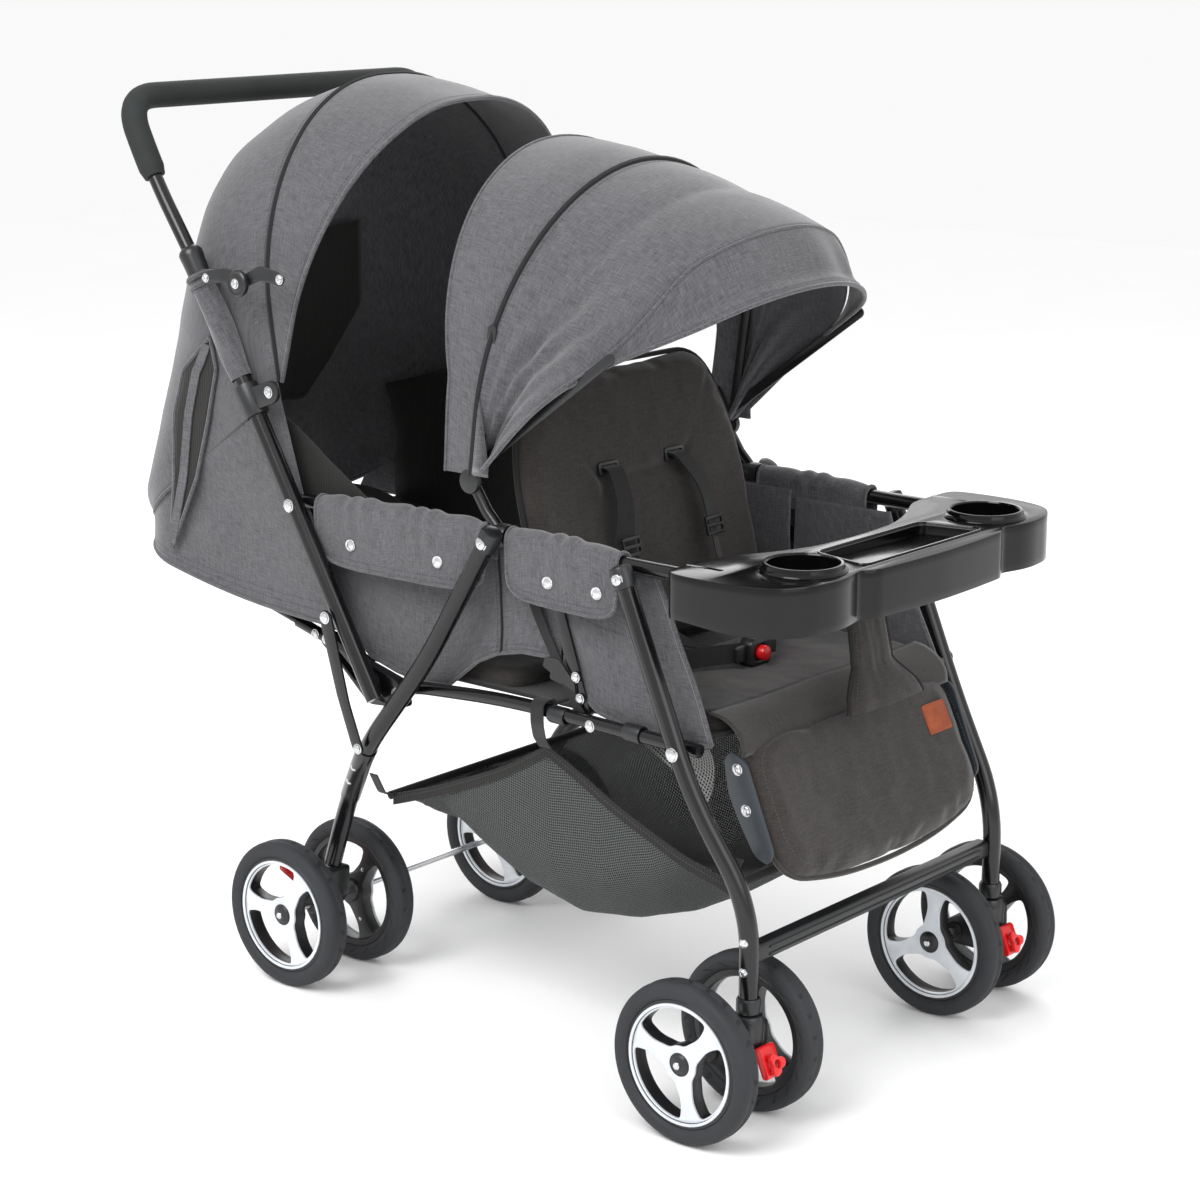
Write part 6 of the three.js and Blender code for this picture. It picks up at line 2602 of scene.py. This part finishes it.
        self.cloth(
            f"seat_vent_{side}", shape, (24, 12), (0, -0.33, 0.35), "chassis", self.finishes.vent,
            Slot.NET, 0.0008,
        )

    def _harness(self) -> None:
        """Shoulder straps through their slots, adjusters, lap straps, buckle and button."""
        f = self.finishes
        pivot = PLACES.yz("front_recline")
        face = sloping((pivot[0] + 0.002, pivot[1] + 0.004), FRONT_LEAN)
        for sign in (RIGHT, LEFT):
            side = SIDE_NAME[sign]
            slot = face @ Vector((sign * 0.058, 0.205, 0.0150))
            route = [
                slot + Vector((0, 0.004, 0.004)), slot + Vector((0, -0.012, 0.004)),
                slot + Vector((sign * 0.012, -0.038, -0.030)),
                slot + Vector((sign * 0.020, -0.042, -0.075)), Vector((sign * 0.070, -0.196, 0.478)),
                Vector((sign * 0.052, -0.236, 0.452)), Vector((sign * 0.020, -0.282, 0.449)),
            ]
            path = rounded(route, 0.03, 8)
            sides = [
                Vector((1, 0, 0)).lerp(Vector((0.75, sign * 0.7, 0)), smooth(k / len(path)))
                for k in range(len(path))
            ]
            strap = self.ribbon(f"shoulder_strap_{side}", path, sides, 0.024, "")
            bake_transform(strap)
            guide = Bench.plate(f"strap_guide_{side}", [
                box_outline(0.017, -0.008, 0.008, 0.004), box_outline(0.0135, -0.0035, 0.0035, 0.001)
            ], 0.0034, face @ Matrix.Translation((sign * 0.058, 0.207, 0.0175)), 0.0009)
            self.moulded(guide, "front_backrest")
            slide = Bench.plate(f"strap_slide_{side}", [
                box_outline(0.015, -0.011, 0.011, 0.003), box_outline(0.0128, 0.002, 0.007, 0.001),
                box_outline(0.0128, -0.007, -0.002, 0.001),
            ], 0.004, face @ Matrix.Translation((sign * 0.074, 0.118, 0.0440)), 0.0010)
            self.moulded(slide, "front_backrest")
            lap = [
                Vector((sign * 0.185, -0.205, 0.436)), Vector((sign * 0.12, -0.222, 0.442)),
                Vector((sign * 0.06, -0.262, 0.446)), Vector((sign * 0.018, -0.286, 0.447)),
            ]
            way = rounded(lap, 0.03, 6)
            self.ribbon(f"lap_strap_{side}", way, [(0, 0.35, 1)] * len(way), 0.022, "chassis")
            label = Bench.plate(
                f"buckle_tongue_{side}", [box_outline(0.010, -0.009, 0.009, 0.003)], 0.006,
                Matrix.Translation(
                    (sign * 0.026, -0.288, 0.447)
                ) @ Matrix.Rotation(math.pi / 2, 4, "X"),
                0.0014,
            )
            self.moulded(label, "chassis")
        low, high = PLACES.low("buckle"), PLACES.high("buckle")
        mid = (low + high) / 2
        housing = Bench.plate(
            "buckle_housing",
            [
                flat_outline([
                    (-0.0185, -0.013), (-0.010, -0.017), (0.010, -0.017), (0.0185, -0.013),
                    (0.0185, 0.012), (0.012, 0.017), (-0.012, 0.017), (-0.0185, 0.012),
                ], 0.004, 5),
                ring(0.0092, 28),
            ],
            high.y - low.y - 0.001, Matrix.Translation(mid) @ Matrix.Rotation(math.pi / 2, 4, "X"),
            0.0018,
        )
        self.moulded(housing, "chassis", ["buckle"])
        back = Bench.turned("buckle_back", [
            (0.0, -0.001), (0.0094, -0.001), (0.0094, 0.003), (0.0, 0.003)
        ], (mid.x, mid.y + 0.002, mid.z), (0, 1, 0), 24)
        self.moulded(back, "chassis")
        press = Bench.turned("press_button", [
            (0.0, 0.0), (0.0085, 0.0), (0.0087, 0.006), (0.0078, 0.0086), (0.0050, 0.0098),
            (0.0, 0.0102),
        ], (mid.x, PLACES.high("buckle_button").y, mid.z), (0, -1, 0), 32)
        self.enter(press, "buckle_button", Slot.RED, f.red, ["buckle_button"])


@dataclass
class Basket(SoftAssembly):
    """The net basket: one sagging sheet, bound edges, end bars and the loops it hangs by."""

    def build(self) -> None:
        """Build the basket."""
        f = self.finishes
        low, high = PLACES.low("basket"), PLACES.high("basket")
        half = high.x - 0.001
        rear, front = (high.y - 0.002, 0.250), (low.y + 0.003, 0.253)
        peak = (-0.150, high.z - 0.015)

        def rim(y: float) -> float:
            """The rim's height, slack between its three hangers."""
            base = float(np.interp(y, [front[0], peak[0], rear[0]], [front[1], peak[1], rear[1]]))
            share = (
                (y - peak[0]) / (rear[0] - peak[0]) if y > peak[0] else (peak[0] - y)
                / (peak[0] - front[0])
            )
            return base - 0.010 * math.sin(math.pi * share)

        def floor(y: float) -> float:
            """The floor's height along the middle."""
            table = [
                (front[0], front[1]), (-0.36, 0.209), (-0.294, 0.170), (-0.22, 0.145), (-0.15, 0.136),
                (-0.08, 0.150), (-0.02, 0.178), (0.04, 0.214), (rear[0], rear[1]),
            ]
            return float(np.interp(y, [t[0] for t in table], [t[1] for t in table]))

        def shape(u: float, v: float) -> Sequence[float]:
            """Across from the right rim to the left, and from the front bar to the rear one."""
            y = lerp(front[0], rear[0], v)
            top, base = rim(y), floor(y)
            depth = max(top - base, 0.0)
            bend = min(0.06, depth * 0.9 + 0.001)
            run = [
                (-half, top), (-half + 0.004, base + bend), (-half + bend, base + 0.002), (0.0, base),
                (half - bend, base + 0.002), (half - 0.004, base + bend), (half, top),
            ]
            spot = Track([(a, 0, b) for a, b in rounded(run, bend * 0.7, 4)]).even(61)[int(round(u * 60))]
            sag = 0.004 * ripple(u * 8, v * 6, 51.0) * min(depth / 0.08, 1.0)
            return spot.x * (1 - 0.02 * math.sin(math.pi * v)), y, spot.z + sag

        net = self.cloth(
            "basket_net", shape, (60, 60), (0, -0.17, 0.36), "chassis", f.net, Slot.NET, 0.0009,
            held="hung", rests_on=["basket_bar_front", "basket_bar_rear"], replaces=["basket"],
        )
        pieces = [net]
        for tag, (y, z) in (("front", front), ("rear", rear)):
            bar = Bench.tube(f"basket_bar_{tag}", [
                (-half - 0.006, y, z), (half + 0.006, y, z)
            ], 0.0052, 14)
            pieces.append(self.enter(bar, "chassis", Slot.NET, f.lining))
        for sign in (RIGHT, LEFT):
            side = SIDE_NAME[sign]
            path = [Vector(shape(0.5 + 0.5 * sign, k / 60)) for k in range(61)]
            band = [p + Vector((sign * 0.0012, 0, -0.006)) for p in path]
            pieces.append(
                self.ribbon(
                    f"basket_binding_{side}", band, [(0, 0, 1)] * 61, 0.013, "chassis", f.lining
                )
            )
            line = [p + Vector((sign * 0.0024, 0, 0.002)) for p in band]
            pieces.append(self.seam(f"basket_stitch_{side}", line, "chassis"))
            x = sign * half
            loop = [
                (x, -0.150, 0.352), (x + sign * 0.012, -0.152, 0.366),
                (x + sign * 0.0385, -0.172, 0.392), (x + sign * 0.0385, -0.172, 0.416),
                (x + sign * 0.018, -0.172, 0.418), (x + sign * 0.012, -0.172, 0.390),
            ]
            way = rounded(loop, 0.008, 5)
            pieces.append(
                self.ribbon(f"basket_loop_{side}", way, [(0, 1, 0)] * len(way), 0.018, "chassis")
            )
            for tag, run in (
                ("rear", [
                    (x, rear[0], rear[1]), (x + sign * 0.016, rear[0] + 0.003, rear[1] + 0.004),
                    (x + sign * 0.038, 0.078, 0.284),
                ]),
                ("front", [
                    (x, front[0], front[1]), (x + sign * 0.014, front[0] - 0.002, front[1] + 0.010),
                    (x + sign * 0.019, -0.432, 0.292),
                ]),
            ):
                way = rounded(run, 0.01, 5)
                pieces.append(
                    self.ribbon(
                        f"basket_strap_{tag}_{side}", way, [(0, 1, 0)] * len(way), 0.012, "chassis"
                    )
                )
        for piece in pieces:
            self.crush(piece, 0.35)


@dataclass
class Tray(Assembly):
    """The child's tray: a skirted top with two ringed cups and a pocket, on the armrest tubes."""

    wall: float = 0.0026
    cup: float = 0.037
    skirt: float = 0.0515

    def build(self) -> None:
        """Build the tray and the cloth post under it."""
        low, high = PLACES.low("tray"), PLACES.high("tray")
        top = high.z - 0.009
        half, back, front = high.x, high.y, low.y
        cup_y, cup_x = back - 0.106, 0.168
        right = [
            (0.0, back - 0.054), (0.070, back - 0.050), (0.118, back - 0.034),
            (half - 0.092, back - 0.004), (half - 0.060, back), (half - 0.006, back),
            (half, back - 0.040), (half - 0.001, back - 0.090), (half - 0.014, back - 0.132),
            (half - 0.046, front + 0.012), (cup_x + 0.006, front + 0.005),
            (cup_x - 0.036, front + 0.016), (0.116, front + 0.004), (0.060, front),
            (0.0, front - 0.002),
        ]
        loop = [*right, *[(-a, b) for a, b in reversed(right[1:-1])]]
        outline = flat_outline(loop, 0.022, 6)
        pocket_loop = [
            (-0.108, cup_y - 0.034), (0.108, cup_y - 0.034), (0.094, cup_y + 0.036),
            (-0.094, cup_y + 0.036),
        ]
        pocket = flat_outline(pocket_loop, 0.012, 5)
        parts = [
            Bench.plate("tray_shell", [
                outline, ring(self.cup, 48, (cup_x, cup_y)), ring(self.cup, 48, (-cup_x, cup_y)), pocket
            ], 0.0036, Matrix.Translation((0, 0, top - 0.0018)), 0.0014)
        ]
        parts.append(self._skirt("skirt", outline, top - 0.001, lambda x, y: top - self.skirt
                                 + 0.004 * smooth((y - back + 0.10) / 0.08)))
        parts.append(self._skirt("pocket", pocket, top - 0.001, lambda x, y: top - 0.0125))
        parts.append(
            Bench.plate(
                "pocket_floor", [pocket], 0.0024, Matrix.Translation((0, 0, top - 0.0125)), 0.0006
            )
        )
        lip = flat_outline([(a * 1.035, lerp(cup_y, b, 1.05)) for a, b in pocket_loop], 0.014, 5)
        parts.append(Bench.tube("lip", [(a, b, top + 0.0002) for a, b in lip], 0.0016, 8, closed=True))
        for sign in (RIGHT, LEFT):
            c = self.cup
            parts.append(
                Bench.turned("cup", [
                    (0.0, -0.0225), (c - 0.006, -0.0225), (c - 0.0025, -0.0205), (c - 0.0012, -0.016),
                    (c, 0.0), (c + 0.0002, 0.0072), (c + 0.0012, 0.0088), (c + 0.0036, 0.0090),
                    (c + 0.0048, 0.0078), (c + 0.0054, 0.0042), (c + 0.0072, 0.0030),
                    (c + 0.0084, 0.0012), (c + 0.0084, -0.002),
                ], (sign * cup_x, cup_y, top), (0, 0, 1), 64, 30)
            )
            for k in range(2):
                parts.append(
                    Bench.tube("ring", [
                        (
                            sign * cup_x + (c - 0.006 - 0.010 * k) * math.cos(t),
                            cup_y + (c - 0.006 - 0.010 * k) * math.sin(t), top - 0.0222,
                        )
                        for t in (2 * math.pi * j / 40 for j in range(40))
                    ], 0.0007, 6, closed=True)
                )
            sock = Bench.turned(
                "socket",
                [
                    (0.0092, 0.0), (0.0128, 0.0), (0.0132, -0.002), (0.0132, -0.044), (0.0120, -0.047),
                    (0.0092, -0.047), (0.0092, 0.0),
                ],
                (sign * 0.223, back - 0.0005, PLACES.low("armrest_tube_right").z + 0.0085), (0, 1, 0),
                28,
            )
            parts.append(sock)
        shell = Bench.join("tray_shell", parts)
        self.enter(shell, "tray", Slot.TRAY, self.finishes.tray, ["tray"])
        self._post(top - self.skirt + 0.012, cup_y)

    def _skirt(
        self, name: str, outline: Sequence[Flat], top: float, bottom: Callable[[float, float], float]
    ) -> Obj:
        """A wall that follows an outline down to a height."""
        count = len(outline)
        points, faces = [], []
        rows = 6
        for row in range(rows + 1):
            for a, b in outline:
                points.append((a, b, lerp(top, bottom(a, b), row / rows)))
        for row in range(rows):
            for k in range(count):
                a, b = row * count + k, row * count + (k + 1) % count
                faces.append((a, b, b + count, a + count))
        wall = Bench.mesh(name, points, faces)
        Bench.weld(wall)
        Bench.cook(wall, "SOLIDIFY", thickness=self.wall, offset=-1.0, use_even_offset=True)
        Bench.cook(wall, "BEVEL", width=0.0007, segments=2, limit_method="ANGLE")
        return Bench.soften(wall, 40)

    def _post(self, top: float, cup_y: float) -> None:
        """The stitched cloth post between the tray and the seat, with wings at its foot."""
        f = self.finishes
        lean = (-0.425, -0.452)

        def half_width(v: float) -> float:
            """The post's half width, from its top down."""
            return float(np.interp(v, [0.0, 0.45, 0.74, 0.90, 1.0], [0.040, 0.033, 0.036, 0.062, 0.070]))

        def skin(depth: float) -> Shape:
            """One face of the post."""
            def shape(u: float, v: float) -> Sequence[float]:
                """Across and down."""
                s = 2 * u - 1
                edge = (1 - s ** 4) * depth
                y = lerp(lean[0], lean[1], v) + edge - 0.030 * smooth((v - 0.72) / 0.28) * 0.4
                z = lerp(top + 0.020, 0.418, v)
                return (
                    s * half_width(v) + 0.0012 * ripple(s * 3, v * 6, 61.0),
                    y + 0.0014 * ripple(s * 5, v * 5, 62.0), z
                )
            return shape

        front, back = skin(-0.0065), skin(0.0065)
        halves = [
            Bench.surface("post_front", front, 24, 34, (0, 0.0, 0.48)),
            Bench.surface("post_back", back, 24, 34, (0, -0.9, 0.48)),
        ]
        post = Bench.weld(Bench.join("crotch_post", halves), 0.0004)
        for polygon in post.data.polygons:
            polygon.use_smooth = True
        self.enter(post, "tray", Slot.DARK, f.dark_solid)
        for sign in (RIGHT, LEFT):
            side = SIDE_NAME[sign]
            line = [Vector(front(0.5 + 0.5 * sign, k / 30)) for k in range(31)]
            self.enter(
                Bench.tube(f"crotch_post_piping_{side}", line, 0.0022, 10), "tray", Slot.DARK, f.piping
            )
            inner = [
                Vector(front(0.5 + 0.42 * sign, k / 30)) + Vector((0, -0.0008, 0)) for k in range(1, 30)
            ]
            self.enter(Bench.stitches(f"crotch_post_stitch_{side}", inner), "tray", Slot.DARK, f.thread)


def main() -> None:
    """Build the stroller."""
    finishes = Finishes()
    Studio(finishes).build()
    for kind in (
        WheelMaker, Undercarriage, TubeFrame, PushHandle, FrontCanopy, RearCanopy, Seats, Basket, Tray
    ):
        kind(finishes).build()
        log.info("%s done", kind.__name__)
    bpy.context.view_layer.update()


if __name__ == "__main__":
    main()
